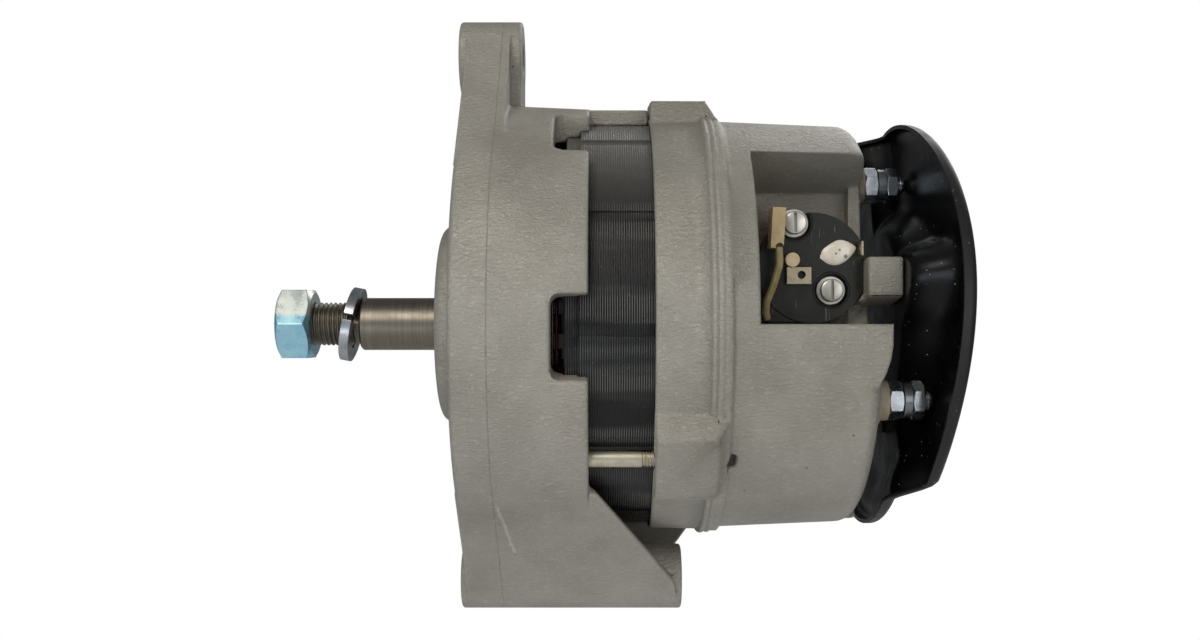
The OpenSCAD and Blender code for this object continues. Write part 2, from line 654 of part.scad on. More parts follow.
// Rectifier
module heat_sink(z, own_diodes, other_diodes) difference() {
    intersection() {
        ring(sink_r1, sink_r0, z, z + sink_t);
        slab(z - over, z + sink_t + over) polygon(concat([[0, 0]], arc([0, 0], 2 * sink_r1, sink_from,
            sink_to, 8)));
    }
    for (a = own_diodes) rod(diode_r + fit, a, diode_circle_r, z - over, z + sink_t + over);
    for (a = other_diodes) rod(diode_r + 1.4, a, diode_circle_r, z - over, z + sink_t + over);
    for (a = sink_screw_angles) rod(3, a, sink_screw_r, z - over, z + sink_t + over);
    rod(stud_r + fit, output_angle, stud_circle_r, z - over, z + sink_t + over);
}
positive_diode_angles = [254, 310, 368];
negative_diode_angles = [226, 282, 340];
module negative_heat_sink() color("#b4b7b9") in_row()
    heat_sink(negative_z, negative_diode_angles, positive_diode_angles);
module positive_heat_sink() color("#b4b7b9") in_row()
    heat_sink(positive_z, positive_diode_angles, negative_diode_angles);
module diodes(angles, z) for (a = angles) around(a, diode_circle_r) {
    disc(diode_r, z, z + diode_h);
    disc(diode_r - 2.2, z + diode_h, z + diode_h + 1.2);
    disc(0.8, z - 6, z);
}
module negative_diodes() color("#9b8f7a") in_row() diodes(negative_diode_angles, negative_z - 1);
module positive_diodes() color("#9b8f7a") in_row() diodes(positive_diode_angles, positive_z - 1);
module rectifier_spacers() color("#d8cfb8") in_row() for (a = sink_screw_angles) around(a, sink_screw_r) {
    ring(4, rect_screw_r + fit, positive_z + sink_t, positive_z + sink_t + 3);
    ring(4, rect_screw_r + fit, negative_z + sink_t, positive_z);
}
module rectifier_screws() color("#c2c5c8") in_row() for (a = sink_screw_angles) around(a, sink_screw_r) {
    disc(3.5, negative_z - 2.6, negative_z);
    disc(rect_screw_r - fit, negative_z - over, rear_z - 8);
}
module phase_leads() color("#3a2a22") in_row() for (a = negative_diode_angles) around(a, diode_circle_r)
    disc(0.8, stack_z1 + 1 + end_turn - 1.2, negative_z - 7.2);

// Brush holder and what is on it
module brush_holder() color("#37393a") in_row() difference() {
    union() {
        near_rod(holder_d / 2, holder_up, holder_z, holder_back, holder_front);
        // Body round the two brush boxes
        block([-holder_front + 2.4, -box_back], [brush_up - box_half, brush_up + box_half], [box_z0, box_z1]);
        block([-holder_front + 0.6, -holder_back], [0.6, 15], [box_z0 - 3, box_z1 - 4]);
    }
    for (z = [front_slip_z, rear_slip_z])
        block([-holder_front + box_roof, -5], [brush_up - brush_h / 2 - brush_gap, brush_up + brush_h / 2
            + brush_gap], [z - brush_w / 2 - brush_gap, z + brush_w / 2 + brush_gap]);
    for (s = [screw_a, screw_b]) {
        near_rod(holder_screw_r + 0.2, s[1], s[0], holder_back - over, holder_front + over);
        near_rod(pad_r + 0.4, s[1], s[0], holder_front - recess_depth, holder_front + over);
    }
}
module brush_holder_washers() color("#c8ccd0") in_row() for (s = [screw_a, screw_b]) difference() {
    near_rod(4.5, s[1], s[0], holder_front - recess_depth, holder_front - recess_depth + 1);
    near_rod(holder_screw_r + 0.2, s[1], s[0], holder_back, holder_front + over);
}
module brush_holder_screws() color("#cfd3d6") in_row() for (s = [screw_a, screw_b]) difference() {
    head = holder_front - recess_depth + 1;
    union() {
        near_rod(holder_head_r, s[1], s[0], head, head + 3);
        near_rod(holder_screw_r - fit, s[1], s[0], pocket_floor + 0.4, head + 1);
    }
    block([-head - 4, -head - 1.6], [s[1] - 5, s[1] + 5], [s[0] - 0.5, s[0] + 0.5]);
}
module sealing_compound() color("#e8e2d2") in_row()
    translate([-holder_front, holder_up + 5.5, holder_z + 8.3]) rotate([0, -90, 0]) rotate(30)
    intersection() {
        linear_extrude(1) polygon(concat(arc([0, -1.6], 5.4, 20, 160, 10), arc([0, 1.6], 5.4, 200, 340, 10)));
        translate([0, 0, -8]) sphere(r = 9.8);
    }
// A bent blade with a hole that stands on the disc
module field_terminal() color("#b8b09a") in_row() difference() {
    union() {
        block([-holder_front - 1.8, -holder_front - 1], [12.2, 17.4], [holder_z - 8.1, holder_z - 0.6]);
        block([-holder_front - 1.4, -holder_front], [12.2, 17.4], [holder_z - 8.1, holder_z - 7.3]);
    }
    near_rod(1.2, 15, holder_z - 3.6, holder_front + 0.5, holder_front + 3);
}
module spare_terminal() color("#d8cdb6") in_row()
    block([-holder_front - 5, -holder_front], [holder_up + 3.6, holder_up + 8],
        [holder_z + 14, holder_z + 14.7]);
module terminal_insulator() color("#e2cfae") in_row()
    near_rod(2.2, holder_up + 2.4, holder_z - 6.4, holder_front, holder_front + 2.4);
connector_z = holder_z - 11.4;
connector_up = holder_up + 11.8;
module field_connector() color("#c9b283") in_row() difference() {
    translate([-holder_front, connector_up, connector_z]) rotate([0, -90, 0]) rotate(-4)
        linear_extrude(7.5) polygon([[-2, -6.2], [1.9, -6.2], [1.9, 6.2], [-2.2, 6.2]]);
    near_rod(lead_r + 0.1, lead_top[1], lead_top[2], -lead_top[0] - 3, -lead_top[0] + 8);
}

// Field lead from the connector down into the pocket corner
lead_r = 1.15;
lead_top = [-31.5, connector_up - 5.8, connector_z + 0.3];
lead_points = [lead_top, [-31, 17.9, lead_top[2] + 0.2], [-29.6, 11.8, lead_top[2] - 1.4],
    [-28.4, 6.6, lead_top[2] - 3.4], [-27, 3.4, lead_top[2] - 3.4], [-26, 1.6, lead_top[2] - 2.9]];
// A round wire through a list of points, none of which heads along the reference direction
module wire(points, r, reference, sides = 8) {
    n = len(points);
    rings = [for (i = [0:n - 1]) let (d = points[min(n - 1, i + 1)] - points[max(0, i - 1)],
        u = cross(d, reference), v = cross(d, u)) for (k = [0:sides - 1])
        points[i] + r * (u / norm(u) * cos(360 * k / sides) + v / norm(v) * sin(360 * k / sides))];
    sides_faces = [for (i = [0:n - 2]) for (k = [0:sides - 1])
        let (a = i * sides + k, b = i * sides + (k + 1) % sides) [a, a + sides, b + sides, b]];
    polyhedron(rings, concat([[for (k = [0:sides - 1]) k]], sides_faces,
        [[for (k = [0:sides - 1]) n * sides - 1 - k]]));
}
function between(points, t) = let (m = len(points) - 1, i = min(m - 1, floor(t * m)))
    mix(points[i], points[i + 1], t * m - i);
module field_lead() color("#b9a96e") in_row() 
    wire([for (i = [0:24]) between(lead_points, i / 24)], lead_r, [0.1, 0.2, 1]);

// Terminals: each child module call gets the height of its bush flange
module each_stud() for (s = studs) around(s[0], stud_circle_r) {
    $flange = s[1];
    translate([0, 0, stud_seat_z + s[1]]) children();
}
module terminal_studs() color("#c6cacf") in_row() {
    rod(stud_r, output_angle, stud_circle_r, positive_z - 3, rear_z + stud_len);
    rod(stud_r, neutral_angle, stud_circle_r, rear_z - 14, rear_z + stud_len);
    around(output_angle, stud_circle_r) disc(5, positive_z - 5, positive_z, $fn = 6);
    around(neutral_angle, stud_circle_r) disc(5, rear_z - 17, rear_z - 12.2, $fn = 6);
}
module stud_bushes() color("#d9d2bd") in_row() each_stud() difference() {
    union() {
        disc(bush_r, -$flange - 6, -$flange);
        disc(bush_flange_r, -$flange, 0);
    }
    disc(stud_r + fit, -20, over);
}
module stud_clamp_nuts() color("#c3c8cd") in_row() each_stud()
    hex_nut(stud_nut_af, nut_h1, stud_r + fit, 0);
module split_ring(ro, ri, t, gap) difference() {
    ring(ro, ri, 0, t);
    block([0, ro + over], [-gap / 2, gap / 2], [-over, t + over]);
}
module stud_spring_washers() color("#aeb3b8") in_row() each_stud() translate([0, 0, nut_h1])
    rotate(150) split_ring(stud_r + 2.3, stud_r + fit, spring_t, 1);
module terminal_nuts() color("#c3c8cd") in_row() each_stud()
    hex_nut(stud_nut_af, nut_h2, stud_r + fit, nut_h1 + spring_t);

// Rear cover: a shallow pressed dish that is raised over the terminals
cover_low_z = rear_z + cover_gap;
cover_hub_z = rear_z + post_len + cover_t + 0.2;
cover_from = 75;
cover_to = 231;
cover_mid = 160;
land_mid = 158.4;
step_half = 4.5;
lip_r = 2.6;
lip_len = 1.5;
function raised(a) = let (u = a < 60 ? a + 360 : a)
    smooth((u - cover_from + step_half) / (2 * step_half))
    * smooth((cover_to + step_half - u) / (2 * step_half));
function crown(a) = cover_crown * pow(cos(min(90, angle_off(a, cover_mid) * 90 / 78)), 2);
function ramp_r(a) = 29.5 + 14 * smooth(1 - angle_off(a, land_mid) / 26);
function base_z(r) = mix(cover_hub_z, cover_low_z, smooth((r - 46) / 14));
function cover_z(r, a) = mix(base_z(r), cover_low_z + cover_raise + crown(a),
    raised(a) * smooth((r - ramp_r(a)) / 9.5));
flat_radii = [20, 29.5, 32, 34.5, 37, 40, 43, 46, 50, 54, 58, cover_r - lip_r];
// Back skin from the middle out to the lip, then the front skin on the way in
function back_ring(k, a) = k < len(flat_radii)
    ? [flat_radii[k], cover_z(flat_radii[k], a)]
    : let (t = (k - len(flat_radii) + 1) * 30, z = cover_z(cover_r - lip_r, a))
        t > 90 ? [cover_r, z - lip_r - lip_len] : [cover_r - lip_r * (1 - sin(t)), z - lip_r * (1 - cos(t))];
function front_ring(k, a) = k < len(flat_radii)
    ? [flat_radii[k], cover_z(flat_radii[k], a) - cover_t]
    : let (t = (k - len(flat_radii) + 1) * 30, z = cover_z(cover_r - lip_r, a), q = lip_r - cover_t)
        t > 90 ? [cover_r - cover_t, z - lip_r - lip_len]
        : [cover_r - lip_r + q * sin(t), z - lip_r + q * cos(t)];
module cover_sheet() {
    angles = concat([for (a = [69:3:87]) a], [for (a = [92:5:217]) a], [for (a = [222:3:240]) a],
        [for (a = [248:8:424]) a]);
    n = len(angles);
    rows = len(flat_radii) + 4;
    around_points = [for (a = angles) concat([for (k = [0:rows - 1]) back_ring(k, a)],
        [for (k = [rows - 1:-1:0]) front_ring(k, a)])];
    points = concat([for (j = [0:n - 1]) for (p = around_points[j])
        [p[0] * cos(angles[j]), p[0] * sin(angles[j]), p[1]]],
        [[0, 0, cover_hub_z], [0, 0, cover_hub_z - cover_t]]);
    m = 2 * rows;
    faces = concat(
        [for (j = [0:n - 1]) for (k = [0:m - 2]) for (f = let (a = j * m + k, b = ((j + 1) % n) * m + k)
            [[a, a + 1, b + 1], [a, b + 1, b]]) f],
        [for (j = [0:n - 1]) [n * m, j * m, ((j + 1) % n) * m]],
        [for (j = [0:n - 1]) [n * m + 1, ((j + 1) % n) * m + m - 1, j * m + m - 1]]);
    polyhedron(points, faces);
}
module rear_cover() color("#1b1b1d") in_row() difference() {
    cover_sheet();
    for (a = post_angles) rod(post_screw_r + 0.3, a, post_at, rear_z, cover_hub_z + 4);
}
module cover_screws() color("#b9bdc1") in_row() for (a = post_angles) around(a, post_at) difference() {
    union() {
        disc(post_screw_r - fit, rear_z + 1, cover_hub_z + 1);
        disc(4.4, cover_hub_z + 0.05, cover_hub_z + 1.05);
        disc(4.2, cover_hub_z + 1.05, cover_hub_z + 4.6);
    }
    block([-6, 6], [-0.6, 0.6], [cover_hub_z + 3.2, cover_hub_z + 6]);
}

// Brush springs
spring_turns = 4;
module brush_spring(z) translate([-brush_back - 0.3, brush_up, z]) wire(
    [for (i = [0:14 * spring_turns]) [-(spring_room - 0.6) * i / (14 * spring_turns),
        1.6 * cos(i * 360 / 14), 1.6 * sin(i * 360 / 14)]], 0.25, [1, 0, 0], 6);
module brush_spring_front() color("#b9bdc1") in_row() brush_spring(front_slip_z);
module brush_spring_rear() color("#b9bdc1") in_row() brush_spring(rear_slip_z);
module brush(z) block([-brush_back, -brush_tip], [brush_up - brush_h / 2, brush_up + brush_h / 2],
    [z - brush_w / 2, z + brush_w / 2]);
module front_brush() color("#3b3b3b") in_row() brush(front_slip_z);
module rear_brush() color("#3b3b3b") in_row() brush(rear_slip_z);

// Rotor
rotor_seat_z0 = front_bearing_z1 + 0.5;
rotor_seat_z1 = pocket_z - pocket_wall - 1;
module shaft() color("#a9adb1") in_row() turned([[0, thread_z0], [thread_d / 2 - 1.2, thread_z0],
    [thread_d / 2, thread_z0 + 1.2], [thread_d / 2, seat_z0], [pulley_seat_d / 2 - 0.6, seat_z0],
    [pulley_seat_d / 2, seat_z0 + 0.6], [pulley_seat_d / 2, -0.3], [pulley_seat_d / 2 - 0.3, 0],
    [pulley_seat_d / 2 - 0.3, 1.5], [pulley_seat_d / 2, 1.8], [pulley_seat_d / 2, rotor_seat_z0 - 0.5],
    [rotor_seat_d / 2 + 1.5, rotor_seat_z0 - 0.5], [rotor_seat_d / 2 + 1.5, pole_z0],
    [rotor_seat_d / 2, pole_z0], [rotor_seat_d / 2, rotor_seat_z1], [slip_seat_d / 2, rotor_seat_z1],
    [slip_seat_d / 2, rear_bearing_z0 - 0.2], [rear_journal_d / 2, rear_bearing_z0 - 0.2],
    [rear_journal_d / 2, rear_bearing_z1 - 0.5], [rear_journal_d / 2 - 0.8, rear_bearing_z1 + 0.3],
    [0, rear_bearing_z1 + 0.3]]);

// Six tapered fingers on a disc, pointing up from z = 0
finger_root = 24;
finger_tip = 10;
module claw() difference() {
    union() {
        disc(30, 0, pole_disc);
        for (i = [0:5]) rotate(60 * i) intersection() {
            turned([[0, 0], [pole_r - 2, 0], [pole_r, 2], [pole_r, pole_len - pole_disc / 2],
                [pole_r - 4, pole_len - pole_disc / 2], [pole_r - 9, pole_disc], [0, pole_disc]]);
            translate([0, 0, 0]) rotate([90, 0, 90]) linear_extrude(pole_r + 2) polygon([
                [-finger_root / 2, 0], [finger_root / 2, 0], [finger_root / 2, pole_disc],
                [finger_tip / 2, pole_len - pole_disc / 2], [-finger_tip / 2, pole_len - pole_disc / 2],
                [-finger_root / 2, pole_disc]]);
        }
    }
    disc(rotor_seat_d / 2 + fit, -over, pole_disc + over);
}
module front_claw_pole() color("#5c5f63") in_row() translate([0, 0, pole_z0]) claw();
module rear_claw_pole() color("#5c5f63") in_row() translate([0, 0, pole_z1]) mirror([0, 0, 1]) rotate(30) claw();
module pole_core() color("#63666a") in_row()
    ring(core_r, rotor_seat_d / 2 + fit, pole_z0 + pole_disc, pole_z1 - pole_disc);
coil_r = pole_r - 11;
module field_bobbin() color("#2f3a33") in_row() {
    z0 = pole_z0 + pole_disc + 0.1;
    z1 = pole_z1 - pole_disc - 0.1;
    ring(core_r + 1.2, core_r + fit, z0, z1);
    ring(coil_r, core_r + fit, z0, z0 + 1);
    ring(coil_r, core_r + fit, z1 - 1, z1);
}
module field_coil() color("#8a3b22") in_row()
    ring(coil_r - 0.6, core_r + 1.2 + fit, pole_z0 + pole_disc + 1.2, pole_z1 - pole_disc - 1.2);
module slip_ring_sleeve() color("#4a2f22") in_row() difference() {
    union() {
        disc(slip_r - 2.5, front_slip_z - slip_w / 2 - 1.4, rear_slip_z + slip_w / 2 + 1.2);
        for (z = [front_slip_z - slip_w / 2 - 1.4, (front_slip_z + rear_slip_z) / 2 - 0.6,
            rear_slip_z + slip_w / 2 + 0.1]) disc(slip_r + 0.2, z, z + 1.2);
    }
    disc(slip_seat_d / 2 + fit, front_slip_z - 20, rear_slip_z + 20);
}
module slip_ring(z) ring(slip_r, slip_r - 2.5 + fit, z - slip_w / 2, z + slip_w / 2);
module front_slip_ring() color("#b5713c") in_row() slip_ring(front_slip_z);
module rear_slip_ring() color("#b5713c") in_row() slip_ring(rear_slip_z);

// Pulley nut and its washer
module pulley_nut() color("#bcd3e2") in_row() hex_nut(nut_af, nut_h, thread_d / 2 + run, thread_z0 + 0.3);
lean_z = seat_z0 - pulley_seat_d / 2 * sin(washer_lean) - washer_t / 2 * cos(washer_lean) - 0.1;
module spring_washer() color("#9fa3a6") in_row() translate([0, -0.1, lean_z])
    rotate([washer_lean, 0, 0]) translate([0, 0, -washer_t / 2]) rotate(168)
    split_ring(washer_od / 2, thread_d / 2 + 0.65, washer_t, 2);

front_bracket();
rear_bracket();
stator_core();
stator_winding();
through_bolts();
front_bearing_outer_ring();
front_bearing_seals();
bearing_retainer();
retainer_screws();
rear_bearing_outer_ring();
rear_bearing_seals();
negative_heat_sink();
positive_heat_sink();
negative_diodes();
positive_diodes();
rectifier_spacers();
rectifier_screws();
phase_leads();
brush_holder();
brush_holder_screws();
brush_holder_washers();
sealing_compound();
field_terminal();
spare_terminal();
terminal_insulator();
field_connector();
field_lead();
terminal_studs();
stud_bushes();
stud_clamp_nuts();
stud_spring_washers();
terminal_nuts();
rear_cover();
cover_screws();
brush_spring_front();
brush_spring_rear();
shaft();
front_claw_pole();
rear_claw_pole();
pole_core();
field_bobbin();
field_coil();
slip_ring_sleeve();
front_slip_ring();
rear_slip_ring();
front_bearing_inner_ring();
rear_bearing_inner_ring();
pulley_nut();
spring_washer();
front_bearing_cage();
front_bearing_balls();
rear_bearing_cage();
rear_bearing_balls();
front_brush();
rear_brush();
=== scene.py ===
"""The finished look of a vehicle alternator: two cast brackets, a clamped stator and a pressed cover.

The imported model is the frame, and its solids get their finish here. Threads, the smooth pressed cover,
the rounded edges of the castings, coil ends and small details are modelled here in their place.
All lengths in the classes are millimetres in the frame of the part: +X along the shaft to the rear,
+Z up, and -Y towards the side with the brush pocket.
"""

import json
import logging
import math
from collections.abc import Sequence
from dataclasses import dataclass
from enum import Enum

import bmesh
import bpy
from mathutils import Matrix, Vector
from mathutils.bvhtree import BVHTree
from mathutils.kdtree import KDTree


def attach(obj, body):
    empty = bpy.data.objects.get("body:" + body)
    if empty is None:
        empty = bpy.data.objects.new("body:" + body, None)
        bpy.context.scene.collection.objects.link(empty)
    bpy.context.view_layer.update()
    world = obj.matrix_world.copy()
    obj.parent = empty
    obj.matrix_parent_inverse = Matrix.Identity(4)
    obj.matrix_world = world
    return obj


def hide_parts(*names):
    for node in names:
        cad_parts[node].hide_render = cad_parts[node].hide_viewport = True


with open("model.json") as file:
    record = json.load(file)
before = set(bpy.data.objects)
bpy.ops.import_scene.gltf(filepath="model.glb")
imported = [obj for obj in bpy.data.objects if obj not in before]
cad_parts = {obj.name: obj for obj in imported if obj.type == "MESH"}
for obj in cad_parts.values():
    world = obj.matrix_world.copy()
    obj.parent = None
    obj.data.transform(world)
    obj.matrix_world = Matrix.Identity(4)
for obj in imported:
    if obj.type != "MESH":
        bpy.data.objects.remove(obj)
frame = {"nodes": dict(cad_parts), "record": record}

log = logging.getLogger("alternator")
MM = 0.001
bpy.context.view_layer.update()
Socket = bpy.types.NodeSocket
Point = tuple[float, float]


class Body(Enum):
    """The rigid bodies that the pieces made here ride on."""

    HOUSING = "housing"
    ROTOR = "rotor"


def linear(hex_colour: str) -> tuple[float, float, float, float]:
    """Turns an sRGB hex colour into linear red, green, blue and alpha.

    Args:
        hex_colour: Six hex digits after a hash sign.

    Returns:
        The linear colour with an alpha of one.
    """
    channels = [int(hex_colour[i : i + 2], 16) / 255 for i in (1, 3, 5)]
    values = [c / 12.92 if c <= 0.04045 else ((c + 0.055) / 1.055) ** 2.4 for c in channels]
    return (values[0], values[1], values[2], 1.0)


def per_mm(size: float) -> float:
    """Gives a texture's scale for features of a size in millimetres, on coordinates in metres."""
    return 1000.0 / size


class Recipe:
    """A material under construction, with one call that adds a node and links it."""

    def __init__(self, name: str) -> None:
        """Starts a material with only its output."""
        self.material = bpy.data.materials.new(name)
        self.material.use_nodes = True
        self.tree = self.material.node_tree
        self.tree.nodes.clear()
        self.output = self.tree.nodes.new("ShaderNodeOutputMaterial")

    def add(
        self, kind: str, inputs: dict[str | int, object] | None = None, **settings: object,
    ) -> bpy.types.Node:
        """Adds a node with its settings, values and links.

        Args:
            kind: The node's type after "ShaderNode".
            inputs: Values, or output sockets to link, by input name or number.
            **settings: Attributes of the node.

        Returns:
            The new node.
        """
        node = self.tree.nodes.new("ShaderNode" + kind)
        for key, value in settings.items():
            setattr(node, key, value)
        for key, value in (inputs or {}).items():
            socket = node.inputs[key]
            if isinstance(value, Socket):
                self.tree.links.new(value, socket)
            else:
                socket.default_value = value
        return node

    def place(
        self, scale: tuple[float, float, float] = (1, 1, 1), centre: Sequence[float] = (0, 0, 0),
    ) -> Socket:
        """Gives object coordinates in metres, stretched by scale about a centre in millimetres."""
        at = self.add("TexCoord").outputs["Object"]
        shift = tuple(-c * MM * s for c, s in zip(centre, scale))
        return self.add("Mapping", {"Vector": at, "Location": shift, "Scale": scale}).outputs[0]

    def grain(
        self, size: float, detail: float = 3, place: Socket | None = None, rough: float = 0.55,
    ) -> Socket:
        """Gives noise from 0 to 1 with features of a size in millimetres."""
        return self.add(
            "TexNoise",
            {"Vector": place or self.place(), "Scale": per_mm(size), "Detail": detail, "Roughness": rough},
        ).outputs["Fac"]

    def span(
        self, value: Socket, low: float, high: float, to_low: float = 0.0, to_high: float = 1.0,
    ) -> Socket:
        """Maps a value from low..high to to_low..to_high and clamps it there."""
        return self.add(
            "MapRange",
            {"Value": value, "From Min": low, "From Max": high, "To Min": to_low, "To Max": to_high},
        ).outputs["Result"]

    def mix(self, share: object, first: object, second: object) -> Socket:
        """Mixes two colours, given as hex or sockets, by a share of the second."""
        colours = [linear(c) if isinstance(c, str) else c for c in (first, second)]
        node = self.add("Mix", {0: share, 6: colours[0], 7: colours[1]}, data_type="RGBA")
        return node.outputs[2]

    def math(self, operation: str, first: object, second: object = 0.0) -> Socket:
        """Gives the result of one sum on two values."""
        return self.add("Math", {0: first, 1: second}, operation=operation).outputs[0]

    def axis(self, name: str, place: Socket | None = None) -> Socket:
        """Gives one coordinate, in metres where no place is given."""
        return self.add("SeparateXYZ", {0: place or self.place()}).outputs[name]

    def radius(self) -> Socket:
        """Gives the distance from the shaft axis in metres."""
        flat = self.place(scale=(0, 1, 1))
        return self.add("VectorMath", {0: flat}, operation="LENGTH").outputs["Value"]

    def bump(
        self, height: Socket, depth: float, under: Socket | None = None, strength: float = 1.0,
    ) -> Socket:
        """Gives a normal with relief of a depth in millimetres, over another normal where one is given."""
        inputs = {"Height": height, "Distance": depth * MM, "Strength": strength}
        if under is not None:
            inputs["Normal"] = under
        return self.add("Bump", inputs).outputs[0]

    def edges(self, size: float) -> Socket:
        """Gives a normal that rounds sharp edges over a radius in millimetres."""
        return self.add("Bevel", {"Radius": size * MM}, samples=6).outputs[0]

    def wear(self, size: float, low: float = 0.9, high: float = 0.985) -> Socket:
        """Gives a mask that is one on edges, where a rounded normal leaves the true one."""
        true = self.add("NewGeometry").outputs["Normal"]
        turn = self.add("VectorMath", {0: self.edges(size), 1: true}, operation="DOT_PRODUCT")
        return self.span(turn.outputs["Value"], low, high, 1.0, 0.0)

    def surface(self, colour: object, **inputs: object) -> bpy.types.Material:
        """Closes the recipe with its surface shader.

        Args:
            colour: The base colour, as hex or a socket.
            **inputs: Shader inputs by name, with underscores for spaces.

        Returns:
            The finished material.
        """
        values = {"Base Color": linear(colour) if isinstance(colour, str) else colour}
        values.update({key.replace("_", " "): value for key, value in inputs.items()})
        shader = self.add("BsdfPrincipled", values)
        self.tree.links.new(shader.outputs[0], self.output.inputs["Surface"])
        return self.material


@dataclass(frozen=True)
class CastAluminium:
    """A die-cast aluminium bracket: an even grey skin of fine short wrinkles, pits and rubbed edges."""

    name: str
    pale: str = "#a19d93"
    dark: str = "#908c82"
    rubbed: str = "#c6c2b4"
    edge: float = 1.0
    parting: float | None = None
    flash: bool = False

    def flash_line(self, make: Recipe) -> Socket:
        """Gives a mask of the torn line of flash that runs down the foot's near web."""
        lean, start = 0.234, 8.17
        across = make.math("ADD", make.axis("X"), make.math("MULTIPLY", make.axis("Z"), lean))
        off = make.math("ABSOLUTE", make.math("SUBTRACT", across, start * MM))
        ragged = make.span(make.grain(1.1, 3), 0.3, 0.7, 0.25 * MM, 0.8 * MM)
        ridge = make.math("LESS_THAN", off, ragged)
        low = make.span(make.axis("Z"), -71 * MM, -70 * MM)
        high = make.span(make.axis("Z"), -54 * MM, -52.5 * MM, 1.0, 0.0)
        near = make.span(make.axis("Y"), -22 * MM, -20 * MM, 1.0, 0.0)
        reach = make.math("MULTIPLY", near, make.math("MULTIPLY", low, high))
        return make.math("MULTIPLY", ridge, reach)

    def material(self) -> bpy.types.Material:
        """Builds the cast skin."""
        make = Recipe(self.name)
        cloud = make.grain(30, 3)
        # The skin froze against the die, so it is covered by wrinkles about a millimetre long
        wrinkle = make.add(
            "TexNoise",
            {"Vector": make.place((0.75, 1, 1.7)), "Scale": per_mm(1.2), "Detail": 3.0, "Roughness": 0.55,
             "Distortion": 0.9},
        ).outputs["Fac"]
        fine = make.grain(0.5, 2)
        pits = make.add(
            "TexVoronoi", {"Vector": make.place(), "Scale": per_mm(13), "Randomness": 1.0}, feature="F1"
        ).outputs["Distance"]
        pit = make.span(pits, 0.018, 0.034, 1.0, 0.0)
        fleck = make.span(make.grain(0.8, 2), 0.68, 0.76)
        base = make.mix(make.span(cloud, 0.36, 0.64), self.dark, self.pale)
        # Painted shade: the troughs of the wrinkles are darkened
        base = make.mix(make.math("MULTIPLY", make.span(wrinkle, 0.42, 0.3, 0, 1), 0.07), base, "#6f6b60")
        base = make.mix(make.math("MULTIPLY", make.wear(1.1), 0.4), base, self.rubbed)
        # Painted highlight: the crests of the wrinkles are lightened
        base = make.mix(make.math("MULTIPLY", make.span(wrinkle, 0.58, 0.7), 0.2), base, "#d2cfc4")
        base = make.mix(make.math("MULTIPLY", fleck, 0.35), base, "#e6e3d8")
        # Painted shade: the pits are darkened
        base = make.mix(make.math("MULTIPLY", pit, 0.7), base, "#3e3a35")
        normal = make.edges(self.edge)
        if self.parting is not None:
            step = make.span(make.axis("X"), (self.parting - 0.2) * MM, (self.parting + 0.2) * MM)
            normal = make.bump(step, 0.3, normal)
        if self.flash:
            ridge = self.flash_line(make)
            base = make.mix(make.math("MULTIPLY", ridge, 0.5), base, self.rubbed)
            normal = make.bump(ridge, 0.7, normal)
        normal = make.bump(wrinkle, 0.5, normal, 1.0)
        normal = make.bump(fine, 0.07, normal, 0.5)
        normal = make.bump(pit, -0.25, normal, 0.7)
        rough = make.span(wrinkle, 0.35, 0.65, 0.52, 0.4)
        return make.surface(base, Metallic=0.22, Roughness=rough, Normal=normal)


@dataclass(frozen=True)
class VarnishedLaminations:
    """A stack of punched steel sheets under black varnish: thin bright sheet edges, partly a painted highlight,
    that fade in patches, and a painted highlight over the upper part.
    """

    name: str = "varnished_laminations"
    sheet: float = 0.68

    def material(self) -> bpy.types.Material:
        """Builds the laminated skin."""
        make = Recipe(self.name)
        # A band texture turns once in pi tenths of its scale's unit; each sheet gets one turn
        lines = make.add(
            "TexWave",
            {"Vector": make.place(), "Scale": per_mm(self.sheet) * math.pi / 10, "Distortion": 0.0},
            wave_type="BANDS", bands_direction="X",
        ).outputs["Fac"]
        thin = make.math("POWER", lines, 5.0)
        patch = make.span(make.grain(9, 2, make.place((0.12, 1, 1))), 0.44, 0.66, 0.03, 1.0)
        speck = make.span(make.grain(0.7, 2), 0.7, 0.76)
        uneven = make.grain(1.6, 3, make.place((2, 0.4, 0.4)))
        # The sheet edges are drawn as thin bright lines, partly their own colour and partly a painted highlight
        base = make.mix(make.math("MULTIPLY", thin, patch), "#0d0d0e", "#6e6d69")
        # Painted highlight: the upper part of the stack is lightened where the light falls on it
        lit_top_band = make.span(make.axis("Z"), 28 * MM, 56 * MM)
        base = make.mix(make.math("MULTIPLY", lit_top_band, 0.75), base, "#74736e")
        base = make.mix(make.math("MULTIPLY", speck, 0.35), base, "#8b8a86")
        normal = make.bump(thin, 0.1, make.edges(0.4), 0.6)
        normal = make.bump(uneven, 0.08, normal, 0.4)
        rough = make.span(uneven, 0.3, 0.7, 0.22, 0.4)
        return make.surface(base, Metallic=0.1, Roughness=rough, Normal=normal, Specular_IOR_Level=0.35)


